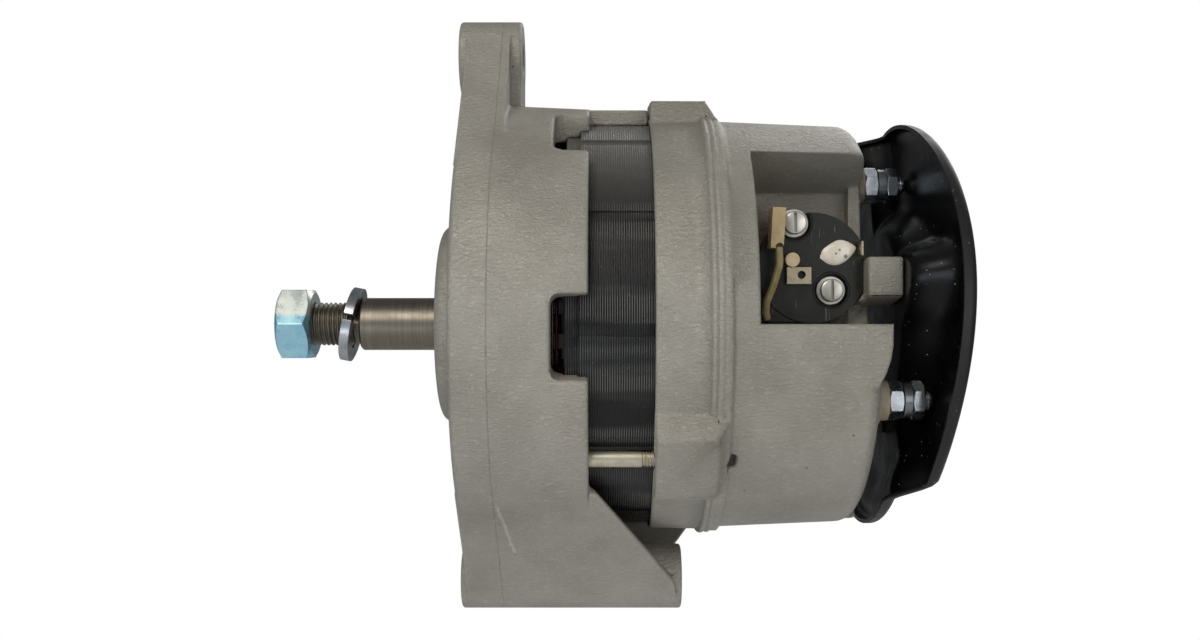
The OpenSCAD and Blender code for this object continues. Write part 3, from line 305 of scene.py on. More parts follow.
@dataclass(frozen=True)
class BlackEnamel:
    """Gloss black stoving enamel on pressed steel, with white dust and a rougher rim that has a painted grey
    highlight.
    """

    name: str = "black_enamel"
    rim: float = 63.6

    def material(self) -> bpy.types.Material:
        """Builds the enamel."""
        make = Recipe(self.name)
        cells = make.add("TexVoronoi", {"Vector": make.place(), "Scale": per_mm(1.9)}, feature="F1")
        gathered = make.span(make.grain(14, 3), 0.46, 0.58)
        speck = make.math("MULTIPLY", make.span(cells.outputs["Distance"], 0.06, 0.1, 1.0, 0.0), gathered)
        rim = make.span(make.radius(), (self.rim - 0.3) * MM, (self.rim + 0.5) * MM)
        haze = make.grain(9, 4)
        base = make.mix(make.span(haze, 0.4, 0.7), "#050506", "#0c0c0d")
        # Painted highlight: the rim band is lifted to dark grey; its roughness is raised as well
        base = make.mix(make.math("MULTIPLY", rim, 0.5), base, "#2e2d2c")
        base = make.mix(speck, base, "#c9c9c4")
        normal = make.bump(make.grain(7, 2), 0.05, None, 0.2)
        normal = make.bump(speck, 0.08, normal, 0.5)
        rough = make.math("ADD", make.span(haze, 0.4, 0.7, 0.27, 0.38), make.math("MULTIPLY", rim, 0.15))
        return make.surface(base, Roughness=rough, Normal=normal, Specular_IOR_Level=0.3)


@dataclass(frozen=True)
class PlatedSteel:
    """Turned or pressed steel with a thin plating: soft turning lines, stains and brighter edges."""

    name: str
    colour: str
    stain: str
    roughness: float = 0.3
    metallic: float = 1.0
    edge: float = 0.25
    turning: float = 0.35
    top_highlight: str | None = None

    def material(self) -> bpy.types.Material:
        """Builds the plated skin."""
        make = Recipe(self.name)
        scuff = make.grain(self.turning, 3)
        cloud = make.grain(5, 4)
        base = make.mix(make.span(cloud, 0.42, 0.72), self.colour, self.stain)
        if self.top_highlight is not None:
            # Painted highlight: the colour turns pale on the upper side, where the light falls
            base = make.mix(make.span(make.axis("Z"), 2 * MM, 3.5 * MM, 0.0, 0.85), base, self.top_highlight)
        normal = make.bump(scuff, 0.012, make.edges(self.edge), 0.4)
        rough = make.span(cloud, 0.3, 0.7, self.roughness * 0.8, self.roughness * 1.35)
        return make.surface(base, Metallic=self.metallic, Roughness=rough, Normal=normal)


@dataclass(frozen=True)
class GroundSteel:
    """A ground steel shaft: satin, with hair-fine rings round it and a warm tone."""

    name: str = "ground_shaft_steel"

    def material(self) -> bpy.types.Material:
        """Builds the ground skin."""
        make = Recipe(self.name)
        rings = make.grain(0.6, 2, make.place((1, 0.02, 0.02)), 0.6)
        bands = make.grain(6, 2, make.place((1, 0.1, 0.1)))
        stain = make.grain(4, 4)
        base = make.mix(make.span(rings, 0.35, 0.65), "#746e64", "#837c71")
        base = make.mix(make.span(bands, 0.55, 0.7, 0, 0.3), base, "#7c766c")
        base = make.mix(make.span(stain, 0.62, 0.8, 0, 0.35), base, "#756752")
        normal = make.bump(rings, 0.012, make.edges(0.35), 0.5)
        rough = make.span(stain, 0.3, 0.7, 0.36, 0.46)
        return make.surface(base, Metallic=1.0, Roughness=rough, Normal=normal)


@dataclass(frozen=True)
class Moulding:
    """A moulded resin or nylon piece: even colour, slight mottle and softly rounded edges."""

    name: str
    colour: str
    mottle: str
    roughness: float = 0.42
    edge: float = 0.4
    grit: float = 0.8
    clear: float = 0.0
    powder: float = 0.12
    specular: float = 0.5
    scratched: float = 0.0
    rings: tuple[tuple[float, float, float], ...] = ()
    spots: tuple[tuple[float, float, float], ...] = ()

    def distance(self, make: Recipe, x: float, z: float) -> Socket:
        """Gives the distance in metres from a line along Y through a place in millimetres."""
        flat = make.place((1, 0, 1), (x, 0, z))
        return make.add("VectorMath", {0: flat}, operation="LENGTH").outputs["Value"]

    def material(self) -> bpy.types.Material:
        """Builds the moulded skin."""
        make = Recipe(self.name)
        cloud = make.grain(4.5, 4)
        grit = make.grain(self.grit, 3)
        base = make.mix(make.span(cloud, 0.4, 0.68), self.colour, self.mottle)
        base = make.mix(make.math("MULTIPLY", make.span(grit, 0.6, 0.75), self.powder), base, "#ffffff")
        normal = make.bump(grit, 0.05, make.edges(self.edge), 0.5)
        if self.scratched:
            long = make.grain(5, 1, make.place((1, 1, 0.12)))
            off = make.math("ABSOLUTE", make.math("SUBTRACT", long, 0.5))
            hair = make.span(off, 0.002, 0.007, 1.0, 0.0)
            hair = make.math("MULTIPLY", hair, make.span(make.grain(7, 2), 0.52, 0.62))
            base = make.mix(make.math("MULTIPLY", hair, self.scratched), base, "#b9b8b0")
        # Painted shade: a dark groove ring round each listed place, also sunk by a bump
        for x, z, radius in self.rings:
            off = make.math("ABSOLUTE", make.math("SUBTRACT", self.distance(make, x, z), radius * MM))
            groove = make.span(off, 0.2 * MM, 0.4 * MM, 1.0, 0.0)
            base = make.mix(make.math("MULTIPLY", groove, 0.8), base, "#050505")
            normal = make.bump(groove, -0.4, normal)
        for x, z, radius in self.spots:
            spot = make.span(self.distance(make, x, z), radius * 0.6 * MM, radius * MM, 0.8, 0.0)
            base = make.mix(spot, base, "#6e5f4c")
        rough = make.span(cloud, 0.3, 0.7, self.roughness * 0.8, self.roughness * 1.25)
        return make.surface(
            base, Roughness=rough, Normal=normal, Coat_Weight=self.clear, Coat_Roughness=0.12,
            Specular_IOR_Level=self.specular,
        )


@dataclass(frozen=True)
class VarnishedWire:
    """Enamelled copper wire under dark red varnish, with the lie of the turns."""

    name: str = "varnished_copper_wire"
    colour: str = "#1d0e0b"
    bright: str = "#5c2214"

    def material(self) -> bpy.types.Material:
        """Builds the wire's skin."""
        make = Recipe(self.name)
        cloud = make.grain(3, 4)
        base = make.mix(make.span(cloud, 0.4, 0.7), self.colour, self.bright)
        normal = make.bump(make.grain(1.1, 3), 0.15, None, 0.5)
        rough = make.span(cloud, 0.3, 0.7, 0.2, 0.4)
        return make.surface(base, Roughness=rough, Normal=normal, Coat_Weight=0.5, Coat_Roughness=0.15)


FINISHES: dict[str, object] = {
    "front_casting": CastAluminium("front_cast_aluminium", parting=19.6, flash=True),
    "rear_casting": CastAluminium("rear_cast_aluminium", "#9e9a90", "#8d897e"),
    "laminations": VarnishedLaminations(),
    "stator_wire": VarnishedWire(),
    "coil_wire": VarnishedWire("enamelled_coil_wire", "#8a3f20", "#b4663a"),
    "lead_wire": VarnishedWire("varnished_phase_lead", "#33221a", "#5a3d2c"),
    "bolts": PlatedSteel("passivated_bolt_steel", "#cdc6b2", "#a89f88", 0.36, 0.75),
    "bearing_steel": PlatedSteel("ground_bearing_steel", "#c4c7ca", "#a9adb1", 0.18),
    "bearing_seal": Moulding("nitrile_seal_rubber", "#1b1b1c", "#232324", 0.6),
    "retainer_plate": PlatedSteel("pressed_retainer_steel", "#9a9da0", "#7f8285", 0.38),
    "small_screws": PlatedSteel("zinc_plated_screw_steel", "#c7cacd", "#a4a8ab", 0.28),
    "heat_sink": PlatedSteel("pressed_heat_sink_aluminium", "#b9bbbd", "#a0a3a5", 0.4),
    "diode_case": PlatedSteel("nickel_plated_diode_case", "#a79d8a", "#8b8272", 0.34),
    "insulating_bush": Moulding("cream_nylon", "#b3a78f", "#94866c", 0.4),
    "holder_moulding": Moulding(
        "phenolic_moulding", "#191a15", "#22231c", 0.34, 0.3, 0.6, 0.1, 0.02, 0.34, 0.7,
        rings=((110.3, 31.0, 5.4), (121.6, 10.3, 5.4)),
    ),
    "bright_screws": PlatedSteel("bright_nickel_screw_steel", "#cfcdc5", "#aeaba2", 0.36),
    "potting": Moulding(
        "ivory_potting_resin", "#efe9dc", "#d6cbb6", 0.34, 0.5, 0.7, 0.4,
        spots=((124.0, 22.7, 0.5), (122.9, 21.6, 0.45), (125.9, 20.7, 0.75)),
    ),
    "tinned_blade": PlatedSteel("tinned_brass_blade", "#b5ab92", "#8d8369", 0.33),
    "cream_moulding": Moulding("cream_bobbin_nylon", "#e2cba8", "#c9ac84", 0.4),
    "tan_moulding": Moulding("tan_nylon_connector", "#c9b78c", "#b8a172", 0.4, 0.35, 0.5, 0.1),
    "olive_sleeve": Moulding("olive_lead_sleeve", "#b5a878", "#9c8e5c", 0.32, 0.2, 0.6, 0.3),
    "studs": PlatedSteel("plated_stud_steel", "#c3c6c9", "#8f9396", 0.28),
    "stud_nuts": PlatedSteel("bright_zinc_nut_steel", "#c4cacf", "#9da4aa", 0.24, 1.0, 0.35),
    "spring_steel": PlatedSteel("plain_spring_steel", "#8c9094", "#6d7175", 0.32),
    "cover_paint": BlackEnamel(),
    "shaft_steel": GroundSteel(),
    "pole_steel": PlatedSteel("forged_pole_steel", "#6a6d71", "#54575a", 0.45, 0.8, 0.5),
    "bobbin_moulding": Moulding("green_bobbin_nylon", "#2b382f", "#223027", 0.45),
    "sleeve_moulding": Moulding("brown_sleeve_resin", "#4a2f22", "#3a241a", 0.42),
    "slip_ring_metal": PlatedSteel("turned_slip_ring_copper", "#c07a48", "#9b5c34", 0.2),
    "nut_zinc": PlatedSteel("blue_zinc_nut_steel", "#9bd2ea", "#b9e0ea", 0.27, 0.85, 0.5, 0.35, "#eef0e6"),
    "washer_steel": PlatedSteel("spring_washer_steel", "#b3b6b8", "#85898c", 0.3, 1.0, 0.3),
    "cage_metal": PlatedSteel("pressed_bearing_cage", "#a08d63", "#86754f", 0.3),
    "ball_steel": PlatedSteel("polished_ball_steel", "#d9dcdf", "#c9cccf", 0.08),
    "carbon": Moulding("carbon_brush_graphite", "#2b2b2c", "#3a3836", 0.5),
}


class Wardrobe:
    """Keeps each finish's material, made once, under the name of its slot."""

    def __init__(self) -> None:
        """Starts with no material made."""
        self.made: dict[str, bpy.types.Material] = {}

    def get(self, slot: str) -> bpy.types.Material:
        """Gives the material of a slot."""
        if slot not in self.made:
            self.made[slot] = FINISHES[slot].material()
        return self.made[slot]

    def dress_frame(self) -> None:
        """Gives every carried-over solid the finish of its slot in the record."""
        for subpart in frame["record"]["subparts"]:
            solid = frame["nodes"][subpart["node"]]
            solid.data.materials.clear()
            solid.data.materials.append(self.get(subpart["material_slot"]))


class Form:
    """A mesh under construction, in millimetres, that becomes one piece of the scene."""

    def __init__(self) -> None:
        """Starts with an empty mesh."""
        self.bm = bmesh.new()

    def lathe(
        self, profile: Sequence[Point], steps: int = 96, about: Point = (0, 0), closed: bool = False,
    ) -> None:
        """Turns a profile of (along, radius) points about a line parallel to the shaft.

        Args:
            profile: The points, from front to rear on the outside.
            steps: Segments round the axis.
            about: The line's place as (across, up).
            closed: Whether the last point joins the first.
        """
        verts = [self.bm.verts.new((x, about[0], about[1] + r)) for x, r in profile]
        pairs = list(zip(verts, verts[1:])) + ([(verts[-1], verts[0])] if closed else [])
        edges = [self.bm.edges.new(pair) for pair in pairs]
        bmesh.ops.spin(
            self.bm, geom=verts + edges, cent=(0, about[0], about[1]), axis=(1, 0, 0),
            angle=math.tau, steps=steps, use_merge=True, use_duplicate=False,
        )
        bmesh.ops.remove_doubles(self.bm, verts=self.bm.verts[:], dist=1e-4)

    def pin(
        self, profile: Sequence[Point], at: Point, steps: int = 56, closed: bool = False
    ) -> None:
        """Turns a profile of (towards the near side, radius) points about a line across the shaft.

        Args:
            profile: The points, from the far end on the outside.
            at: The line's place as (along, up).
            steps: Segments round the axis.
            closed: Whether the last point joins the first.
        """
        verts = [self.bm.verts.new((at[0], -near, at[1] + r)) for near, r in profile]
        pairs = list(zip(verts, verts[1:])) + ([(verts[-1], verts[0])] if closed else [])
        edges = [self.bm.edges.new(pair) for pair in pairs]
        bmesh.ops.spin(
            self.bm, geom=verts + edges, cent=(at[0], 0, at[1]), axis=(0, 1, 0), angle=math.tau, steps=steps,
            use_merge=True, use_duplicate=False,
        )
        bmesh.ops.remove_doubles(self.bm, verts=self.bm.verts[:], dist=1e-4)

    def slot(self, at: Point, near: float, radius: float, width: float, depth: float) -> None:
        """Sinks a screwdriver slot, upright in the view, into a head whose face is at near."""
        for side in (-width / 2, width / 2):
            everything = self.bm.verts[:] + self.bm.edges[:] + self.bm.faces[:]
            cut = (at[0] + side, 0, 0)
            bmesh.ops.bisect_plane(self.bm, geom=everything, plane_co=cut, plane_no=(1, 0, 0))
        floor = []
        for face in self.bm.faces:
            middle = face.calc_center_median()
            inside = math.hypot(middle.x - at[0], middle.z - at[1]) < radius
            if middle.y < 0.01 - near and inside and abs(middle.x - at[0]) < width / 2:
                floor.append(face)
        sunk = bmesh.ops.extrude_face_region(self.bm, geom=floor)["geom"]
        corners = [v for v in sunk if isinstance(v, bmesh.types.BMVert)]
        bmesh.ops.translate(self.bm, vec=(0, depth, 0), verts=corners)
        bmesh.ops.delete(self.bm, geom=[face for face in floor if face.is_valid], context="FACES_ONLY")

    def thread(
        self, root: float, crest: float, pitch: float, start: float, end: float, about: Point = (0, 0),
        steps: int = 28,
    ) -> None:
        """Winds a thread's ridge round a core.

        Args:
            root: Radius at the foot of the ridge.
            crest: Radius at its top.
            pitch: Advance of one turn.
            start: Where the thread begins along the shaft.
            end: Where it stops.
            about: The axis as (across, up).
            steps: Segments of one turn.
        """
        turns = (end - start) / pitch - 1
        low = root - 0.05
        corners = [(0, low), (pitch * 0.42, crest), (pitch * 0.58, crest), (pitch * 0.98, low)]
        verts = [self.bm.verts.new((start + x, about[0], about[1] + r)) for x, r in corners]
        face = self.bm.faces.new(verts)
        count = round(turns * steps)
        bmesh.ops.spin(
            self.bm, geom=[face, *face.edges, *verts], cent=(0, about[0], about[1]), axis=(1, 0, 0),
            dvec=(pitch / steps, 0, 0), angle=math.tau * count / steps, steps=count, use_merge=False,
            use_duplicate=False,
        )

    def piece(
        self, name: str, body: Body, slot: str, wardrobe: Wardrobe, replaces: Sequence[str] = (),
        smooth: float = 40.0,
    ) -> bpy.types.Object:
        """Turns the form into a piece that rides on a body.

        Args:
            name: The piece's name.
            body: The body it moves with.
            slot: The material slot it takes its finish from.
            wardrobe: Where the finish is kept.
            replaces: CAD nodes that it stands for.
            smooth: Edges sharper than this angle stay sharp.

        Returns:
            The new object.
        """
        bmesh.ops.recalc_face_normals(self.bm, faces=self.bm.faces[:])
        bmesh.ops.scale(self.bm, vec=(MM, MM, MM), verts=self.bm.verts[:])
        for face in self.bm.faces:
            face.smooth = True
        mesh = bpy.data.meshes.new(name)
        self.bm.to_mesh(mesh)
        self.bm.free()
        mesh.set_sharp_from_angle(angle=math.radians(smooth))
        mesh.materials.append(wardrobe.get(slot))
        thing = bpy.data.objects.new(name, mesh)
        bpy.context.scene.collection.objects.link(thing)
        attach(thing, body.value)
        if replaces:
            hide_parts(*replaces)
        log.info("%s: %d faces on %s", name, len(mesh.polygons), body.value)
        return thing


def blend(t: float) -> float:
    """Gives a soft step from 0 to 1."""
    u = min(1.0, max(0.0, t))
    return u * u * (3 - 2 * u)


@dataclass
class PulleyShaft:
    """The shaft with its ground pulley seat and the thread ahead of it."""

    tip: float = -53.6
    shoulder: float = -26.9
    major: float = 7.0
    pitch: float = 1.5

    def build(self, wardrobe: Wardrobe) -> None:
        """Turns the shaft and winds its thread."""
        form = Form()
        root = self.major - 0.75
        form.lathe([
            (self.tip, 0), (self.tip, root - 1.0), (self.tip + 1.1, root), (self.shoulder - 1.6, root),
            (self.shoulder - 1.0, root + 0.2), (self.shoulder, root + 0.3), (self.shoulder, 7.9),
            (self.shoulder + 0.6, 8.5), (-0.3, 8.5), (0, 8.2), (1.5, 8.2), (1.8, 8.5), (18, 8.5),
            (18, 11.5), (38.6, 11.5), (38.6, 10), (90, 10), (90, 6.5), (121.3, 6.5), (121.3, 6), (131, 6),
            (131.8, 5.2), (131.8, 0),
        ])
        form.thread(root, self.major, self.pitch, self.tip + 0.6, self.shoulder - 1.2)
        form.piece("threaded_shaft", Body.ROTOR, "shaft_steel", wardrobe, ["shaft"], 30)


@dataclass
class PressedCover:
    """The rear cover: a shallow pressed dish whose near side is raised over the terminals."""

    radius: float = 64.3
    sheet: float = 1.2
    hub: float = 143.4
    low: float = 139.0
    lift: float = 10.8
    crown: float = 6.0
    middle: float = 160.0
    start: float = 75.0
    stop: float = 231.0
    lip: float = 2.6
    skirt: float = 1.5
    land: float = 158.4

    def raised(self, angle: float) -> float:
        """Gives how far a direction lies in the raised part, from 0 to 1."""
        a = angle + 360 if angle < 60 else angle
        return blend((a - self.start + 4.5) / 9) * blend((self.stop + 4.5 - a) / 9)

    def back(self, radius: float, angle: float) -> float:
        """Gives the back face's place along the shaft.

        Args:
            radius: Distance from the axis.
            angle: Direction from the far side over the top, in degrees.

        Returns:
            The place along the shaft in millimetres.
        """
        off = abs((angle - self.middle + 540) % 360 - 180)
        top = self.low + self.lift + self.crown * math.cos(math.radians(min(90, off * 90 / 78))) ** 2
        near = abs((angle - self.land + 540) % 360 - 180)
        ramp = 29.5 + 14 * blend(1 - near / 26)
        base = self.hub + (self.low - self.hub) * blend((radius - 46) / 14)
        return base + (top - base) * self.raised(angle) * blend((radius - ramp) / 9.5)

    def build(self, wardrobe: Wardrobe) -> None:
        """Spins the two skins of the sheet and presses them into shape."""
        form = Form()
        edge = self.radius - self.lip
        radii = [0.0] + [edge * i / 44 for i in range(1, 45)]
        outer = [(0.0, r) for r in radii]
        inner = [(-self.sheet, r) for r in radii]
        arc = [math.radians(t) for t in (15, 30, 45, 60, 75, 90)]
        outer += [(-self.lip * (1 - math.cos(t)), edge + self.lip * math.sin(t)) for t in arc]
        small = self.lip - self.sheet
        inner += [(-self.lip + small * math.cos(t), edge + small * math.sin(t)) for t in arc]
        outer += [(-self.lip - self.skirt, self.radius)]
        inner += [(-self.lip - self.skirt, self.radius - self.sheet)]
        form.lathe(outer + inner[::-1], 240)
        for v in form.bm.verts:
            radius = math.hypot(v.co.y, v.co.z)
            angle = math.degrees(math.atan2(v.co.z, v.co.y)) % 360
            v.co.x += self.back(min(radius, edge), angle)
        cover = form.piece("pressed_cover", Body.HOUSING, "cover_paint", wardrobe, ["rear_cover"], 50)
        log.info("cover spans %.1f mm", cover.dimensions.x / MM)


@dataclass
class TerminalStuds:
    """The two threaded studs that carry the cables."""

    circle: float = 44.8
    angles: tuple[float, ...] = (210.2, 96.0)
    starts: tuple[float, ...] = (111.0, 119.8)
    heads: tuple[float, ...] = (5.0, 4.8)
    end: float = 148.6
    major: float = 3.0
    pitch: float = 1.0

    def build(self, wardrobe: Wardrobe) -> None:
        """Turns both studs with their threads and square heads."""
        form = Form()
        for angle, start, head in zip(self.angles, self.starts, self.heads):
            at = (self.circle * math.cos(math.radians(angle)), self.circle * math.sin(math.radians(angle)))
            root = self.major - 0.5
            form.lathe([
                (start, 0), (start, root), (self.end - 0.7, root), (self.end, root - 0.7), (self.end, 0),
            ], 32, at)
            form.thread(root, self.major - 0.02, self.pitch, 133.5, self.end - 0.2, at)
            form.lathe([(start - head, 0), (start - head, 5), (start, 5), (start, 0)], 6, at)
        form.piece("threaded_terminal_studs", Body.HOUSING, "studs", wardrobe, ["terminal_studs"], 30)


@dataclass
class ClampBolts:
    """The three long bolts that clamp the brackets on the stator."""

    circle: float = 64.0
    first: float = 97.0
    radius: float = 2.5
    head: float = 4.0
    seat: float = 14.6
    end: float = 85.4
    thread_start: float = 62.5
    pitch: float = 0.8

    def build(self, wardrobe: Wardrobe) -> None:
        """Turns the bolts and winds the threads near their rear ends."""
        form = Form()
        for i in range(3):
            a = math.radians(self.first + 120 * i)
            at = (self.circle * math.cos(a), self.circle * math.sin(a))
            root = self.radius - 0.38
            form.lathe([
                (self.seat - 4.6, 0), (self.seat - 4.6, self.head - 0.5), (self.seat - 4.1, self.head),
                (self.seat, self.head), (self.seat, self.radius), (self.thread_start, self.radius),
                (self.thread_start + 0.5, root), (self.end - 0.5, root), (self.end, root - 0.5),
                (self.end, 0),
            ], 32, at)
            form.thread(root, self.radius, self.pitch, self.thread_start + 0.2, self.end - 0.4, at, 20)
        form.piece("threaded_clamp_bolts", Body.HOUSING, "bolts", wardrobe, ["through_bolts"], 30)


@dataclass
class CoilEnds:
    """The stator's end turns: rings of round wire lying side by side."""

    inner: float = 46.3
    outer: float = 56.5
    starts: tuple[float, ...] = (29.6, 77.0)
    length: float = 10.0
    wire: float = 1.3

    def ring(self, form: Form, start: float) -> None:
        """Turns one end ring with scalloped sides."""
        corners = [
            (start + 0.6, self.inner + 0.6), (start + 0.6, self.outer - 0.6),
            (start + self.length - 0.6, self.outer - 0.6), (start + self.length - 0.6, self.inner + 0.6),
        ]
        profile: list[Point] = []
        for (x0, r0), (x1, r1) in zip(corners, corners[1:] + corners[:1]):
            run = math.hypot(x1 - x0, r1 - r0)
            wires = max(1, round(run / self.wire))
            away = ((r1 - r0) / run, -(x1 - x0) / run)
            for i in range(wires * 6):
                t = i / (wires * 6)
                swell = 0.6 * abs(math.sin(math.pi * t * wires)) ** 0.6
                profile.append((x0 + (x1 - x0) * t - away[0] * swell, r0 + (r1 - r0) * t - away[1] * swell))
        form.lathe(profile, 144, closed=True)

    def build(self, wardrobe: Wardrobe) -> None:
        """Builds both end rings over the plain solid."""
        form = Form()
        for start in self.starts:
            self.ring(form, start)
        form.piece("coil_end_turns", Body.HOUSING, "stator_wire", wardrobe, (), 60)


@dataclass
class HolderScrews:
    """The two slotted screws of the brush holder, each on a spring washer."""

    places: tuple[tuple[float, float], ...] = ((110.3, 31.0), (121.6, 10.3))
    seat: float = 23.0
    radius: float = 3.5
    height: float = 3.0

    def build(self, wardrobe: Wardrobe) -> None:
        """Turns the heads, sinks their slots and lays the washers."""
        screws, washers = Form(), Form()
        for at in self.places:
            foot = self.seat + 1
            top = foot + self.height
            screws.pin([
                (13.9, 0), (13.9, 1.95), (foot, 1.95), (foot, self.radius), (top - 0.5, self.radius),
                (top - 0.15, self.radius - 0.15), (top, self.radius - 0.5), (top, 0),
            ], at)
            screws.slot(at, top, self.radius, 0.95, 1.4)
            washers.pin([
                (self.seat, 2.2), (self.seat, 4.3), (self.seat + 0.2, 4.5), (self.seat + 0.8, 4.5),
                (self.seat + 1, 4.3), (self.seat + 1, 2.2),
            ], at, closed=True)
        for form, name, node in (
            (screws, "slotted_holder_screws", "brush_holder_screws"),
            (washers, "holder_spring_washers", "brush_holder_washers"),
        ):
            form.piece(name, Body.HOUSING, "bright_screws", wardrobe, [node], 30)


@dataclass
class PottingDrop:
    """The blob of potting compound on the brush holder, drawn out to a tail at both ends."""

    centre: tuple[float, float, float] = (123.8, -24.7, 22.0)
    half: tuple[float, float, float] = (5.7, 1.2, 3.7)
    tilt: float = 17.0

    def build(self, wardrobe: Wardrobe) -> None:
        """Shapes the drop from a sphere."""
        form = Form()
        verts = bmesh.ops.create_uvsphere(form.bm, u_segments=36, v_segments=20, radius=1.0)["verts"]
        for v in verts:
            thin = 0.45 * max(v.co.x, 0) ** 2
            tail = 0.22 * max(0, (-v.co.x - 0.96) / 0.04)
            v.co = Vector((v.co.x - tail, v.co.y, v.co.z * (1 - thin) + 0.06 * math.sin(4 * v.co.x)))
            v.co.y = min(v.co.y, 0.3)
        bmesh.ops.scale(form.bm, vec=self.half, verts=verts)
        turn = Matrix.Rotation(-math.radians(self.tilt), 3, "Y")
        bmesh.ops.rotate(form.bm, cent=(0, 0, 0), matrix=turn, verts=verts)
        bmesh.ops.translate(form.bm, vec=self.centre, verts=verts)
        form.piece("potting_drop", Body.HOUSING, "potting", wardrobe, ["sealing_compound"], 60)


@dataclass
class RoundedCastings:
    """Copies of the two brackets with their sharp edges rounded as a die leaves them."""

    nodes: tuple[str, ...] = ("front_bracket", "rear_bracket")
    slots: tuple[str, ...] = ("front_casting", "rear_casting")
    radius: float = 0.9
    sharp: float = 38.0
    face_room: float = 1.6
    side_room: float = 1.3
    stray: float = 0.46
    cleared: float = 2.0

    def has_room(self, edge: bmesh.types.BMEdge, sharp: set[bmesh.types.BMEdge]) -> bool:
        """Tells whether the faces and edges beside an edge leave room for its rounding."""
        start = edge.verts[0].co
        along = (edge.verts[1].co - start).normalized()
        for face in edge.link_faces:
            offsets = [v.co - start for v in face.verts]
            if max((o - along * o.dot(along)).length for o in offsets) < self.face_room * self.radius:
                return False
        for v in edge.verts:
            ahead = (edge.other_vert(v).co - v.co).normalized()
            for other in v.link_edges:
                if other is edge:
                    continue
                if other not in sharp and other.calc_length() < self.side_room * self.radius:
                    return False
                if other in sharp and (other.other_vert(v).co - v.co).normalized().dot(ahead) > 0.8:
                    return False
        return True

    def rounded(self, raw: bmesh.types.BMesh) -> bmesh.types.BMesh:
        """Rounds the sharp edges, and leaves out those beside which a corner would stray from the casting."""
        raw.edges.index_update()
        limit = math.radians(self.sharp)
        sharp = {e for e in raw.edges if e.is_manifold and e.calc_face_angle() > limit}
        chosen = {e.index: [v.co.copy() for v in e.verts] for e in sharp if self.has_room(e, sharp)}
        surface = BVHTree.FromBMesh(raw)
        for _ in range(5):
            trial = raw.copy()
            trial.edges.ensure_lookup_table()
            bmesh.ops.bevel(
                trial, geom=[trial.edges[i] for i in sorted(chosen)], offset=self.radius,
                offset_type="OFFSET", segments=3, affect="EDGES", profile=0.5, material=-1, clamp_overlap=False,
            )
            stray = [v.co for v in trial.verts if surface.find_nearest(v.co)[3] > self.stray * self.radius]
            if not stray:
                break
            tree = KDTree(len(stray))
            for i, place in enumerate(stray):
                tree.insert(place, i)
            tree.balance()
            chosen = {
                i: ends for i, ends in chosen.items()
                if min(tree.find(place)[2] for place in ends) > self.cleared
            }
        log.info("rounded %d of %d sharp edges", len(chosen), len(sharp))
        return trial

    def build(self, wardrobe: Wardrobe) -> None:
        """Copies each bracket, merges its doubles and rounds its edges."""
        for node, slot in zip(self.nodes, self.slots):
            solid = frame["nodes"][node]
            form = Form()
            form.bm.from_mesh(solid.data)
            bmesh.ops.transform(form.bm, matrix=solid.matrix_world, verts=form.bm.verts[:])
            bmesh.ops.scale(form.bm, vec=(1 / MM, 1 / MM, 1 / MM), verts=form.bm.verts[:])
            bmesh.ops.remove_doubles(form.bm, verts=form.bm.verts[:], dist=1e-3)
            bmesh.ops.dissolve_limit(
                form.bm, angle_limit=math.radians(0.3), use_dissolve_boundaries=False, verts=form.bm.verts[:],
                edges=form.bm.edges[:], delimit=set(),
            )
            form.bm = self.rounded(form.bm)
            form.piece("rounded_" + node, Body.HOUSING, slot, wardrobe, [node], 38)


@dataclass
class NotchFillets:
    """The fillets in the closed corners of the six vent notches of the front bracket."""

    end: float = 36.9
    first: float = 3.0
    half: float = 10.0
    fillet: float = 2.4
    inner: float = 61.0
    outer: float = 69.25
    steps: int = 6

    def build(self, wardrobe: Wardrobe) -> None:
        """Fills each corner with a prism that has one hollow side."""
        form = Form()
        for notch in range(6):
            for side in (-1, 1):
                angle = math.radians(self.first + 60 * notch + side * self.half)
                radial = Vector((0, math.cos(angle), math.sin(angle)))
                inward = Vector((0, -math.sin(angle), math.cos(angle))) * -side
                outline = [(-0.5, -0.5), (self.fillet, -0.5)]
                for i in range(self.steps + 1):
                    t = math.radians(90 * i / self.steps)
                    outline.append((self.fillet * (1 - math.sin(t)), self.fillet * (1 - math.cos(t))))
                outline.append((-0.5, self.fillet))
                places = [Vector((self.end + a, 0, 0)) + inward * b for a, b in outline]
                rings = [
                    [form.bm.verts.new(place + radial * r) for place in places]
                    for r in (self.inner, self.outer)
                ]
                for i in range(len(outline)):
                    j = (i + 1) % len(outline)
                    form.bm.faces.new((rings[0][i], rings[0][j], rings[1][j], rings[1][i]))
                form.bm.faces.new(rings[0])
                form.bm.faces.new(rings[1])
        form.piece("vent_notch_fillets", Body.HOUSING, "front_casting", wardrobe, (), 38)


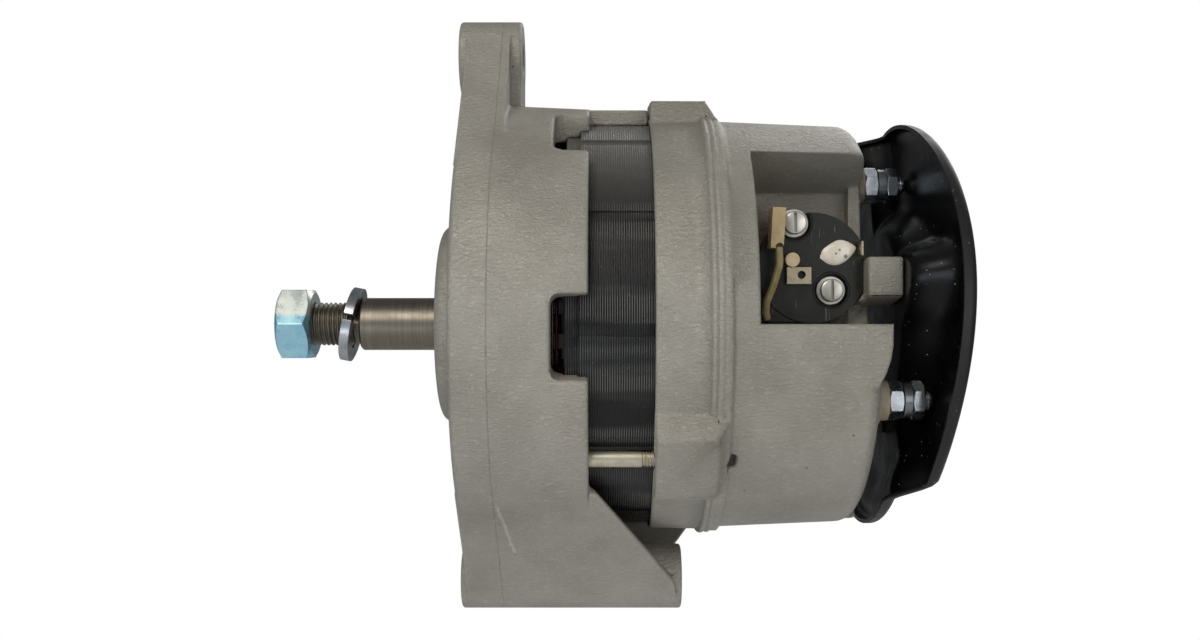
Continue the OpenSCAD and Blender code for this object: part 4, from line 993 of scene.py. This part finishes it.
@dataclass
class FootWeb:
    """The closed skin of the foot's near web, over the window that a vent notch leaves in the solid there."""

    window: Point = (36.9, 48.3)
    top: Point = (-41.78, -55.44)
    foot: Point = (-22.66, -74.11)
    rims: tuple[tuple[float, float], ...] = ((3.0, -2.5), (3.0, -0.04), (1.9, 0.02))

    def build(self, wardrobe: Wardrobe) -> None:
        """Lays a plate in the plane of the web, its rim sunk into the metal round the window."""
        form = Form()
        low, high = Vector((0, *self.foot)), Vector((0, *self.top))
        up = (high - low).normalized()
        out = Vector((0, -up.z, up.y))
        loops = []
        for spread, height in self.rims:
            ends = (low - up * spread + out * height, high + up * spread + out * height)
            sides = (self.window[0] - spread, self.window[1] + spread)
            corners = ((sides[0], ends[0]), (sides[1], ends[0]), (sides[1], ends[1]), (sides[0], ends[1]))
            loops.append([form.bm.verts.new((x, place.y, place.z)) for x, place in corners])
        for below, above in zip(loops, loops[1:]):
            for i in range(4):
                j = (i + 1) % 4
                form.bm.faces.new((below[i], below[j], above[j], above[i]))
        form.bm.faces.new(loops[0])
        form.bm.faces.new(loops[-1])
        form.piece("closed_foot_web", Body.HOUSING, "front_casting", wardrobe, (), 38)


class Light(Enum):
    """The studio lamps: place, target, size, power in watts and colour."""

    KEY = ((-0.3, -0.8, 0.6), (0.05, 0, 0), 0.5, 4.9, "#fffaf2")
    FILL = ((0.55, -0.75, 0.1), (0.06, 0, 0), 0.5, 1.7, "#ffffff")
    LOW = ((-0.4, -0.7, -0.35), (0.04, 0, -0.02), 0.6, 2.9, "#e6f1ff")
    BACK = ((0.5, 0.6, 0.6), (0.06, 0, 0), 0.6, 2.8, "#ffffff")


@dataclass
class Studio:
    """The pale floor, the lamps, the white surroundings and the camera."""

    lens: float = 37.62
    eye: tuple[float, float, float] = (0.0506, -0.410, 0.0)
    axis_below_middle: float = 4.0
    frame_width: float = 1200.0

    def world(self) -> None:
        """Makes surroundings that look white and light the part softly."""
        world = bpy.data.worlds.new("studio")
        bpy.context.scene.world = world
        world.use_nodes = True
        tree = world.node_tree
        tree.nodes.clear()
        output = tree.nodes.new("ShaderNodeOutputWorld")
        ray = tree.nodes.new("ShaderNodeLightPath")
        white = tree.nodes.new("ShaderNodeBackground")
        white.inputs[0].default_value = (1, 1, 1, 1)
        soft = tree.nodes.new("ShaderNodeBackground")
        soft.inputs[0].default_value = (0.93, 0.96, 1.0, 1)
        soft.inputs[1].default_value = 0.2
        choose = tree.nodes.new("ShaderNodeMixShader")
        tree.links.new(ray.outputs["Is Camera Ray"], choose.inputs[0])
        tree.links.new(soft.outputs[0], choose.inputs[1])
        tree.links.new(white.outputs[0], choose.inputs[2])
        tree.links.new(choose.outputs[0], output.inputs[0])

    def lamps(self) -> None:
        """Hangs the lamps and aims them."""
        for lamp in Light:
            place, target, size, power, colour = lamp.value
            data = bpy.data.lights.new(lamp.name.lower(), "AREA")
            data.shape = "SQUARE"
            data.size = size
            data.energy = power
            data.color = linear(colour)[:3]
            thing = bpy.data.objects.new(lamp.name.lower(), data)
            thing.location = place
            thing.rotation_euler = (Vector(target) - Vector(place)).to_track_quat("-Z", "Y").to_euler()
            bpy.context.scene.collection.objects.link(thing)

    def camera(self) -> None:
        """Places the camera level with the shaft, square to it."""
        data = bpy.data.cameras.new("photo_camera")
        data.lens = self.lens
        data.shift_y = self.axis_below_middle / self.frame_width
        data.clip_start = 0.01
        thing = bpy.data.objects.new("photo_camera", data)
        thing.location = self.eye
        thing.rotation_euler = (math.pi / 2, 0, 0)
        bpy.context.scene.collection.objects.link(thing)
        bpy.context.scene.camera = thing

    def floor(self) -> None:
        """Lays a white floor well below the part."""
        form = bmesh.new()
        bmesh.ops.create_grid(form, x_segments=1, y_segments=1, size=3.0)
        bmesh.ops.translate(form, vec=(0, 0, -0.35), verts=form.verts[:])
        mesh = bpy.data.meshes.new("studio_floor")
        form.to_mesh(mesh)
        form.free()
        make = Recipe("white_floor_paper")
        glow = make.add("Emission", {"Color": linear("#ffffff"), "Strength": 1.0}).outputs[0]
        paper = make.add("BsdfDiffuse", {"Color": linear("#f4f4f4")}).outputs[0]
        seen = make.add("LightPath").outputs["Is Camera Ray"]
        both = make.add("MixShader", {0: seen, 1: paper, 2: glow}).outputs[0]
        make.tree.links.new(both, make.output.inputs["Surface"])
        mesh.materials.append(make.material)
        thing = bpy.data.objects.new("studio_floor", mesh)
        bpy.context.scene.collection.objects.link(thing)

    def build(self) -> None:
        """Sets up the whole studio."""
        bpy.context.scene.view_settings.view_transform = "Standard"
        self.world()
        self.lamps()
        self.camera()
        self.floor()


def main() -> None:
    """Builds the studio, the finishes and the pieces in order."""
    logging.basicConfig(level=logging.INFO, format="%(name)s: %(message)s")
    Studio().build()
    wardrobe = Wardrobe()
    wardrobe.dress_frame()
    parts = (
        PulleyShaft(), PressedCover(), TerminalStuds(), ClampBolts(), CoilEnds(), HolderScrews(),
        PottingDrop(), RoundedCastings(), NotchFillets(), FootWeb(),
    )
    for part in parts:
        part.build(wardrobe)
        log.info("built %s", type(part).__name__)


if __name__ == "__main__":
    main()
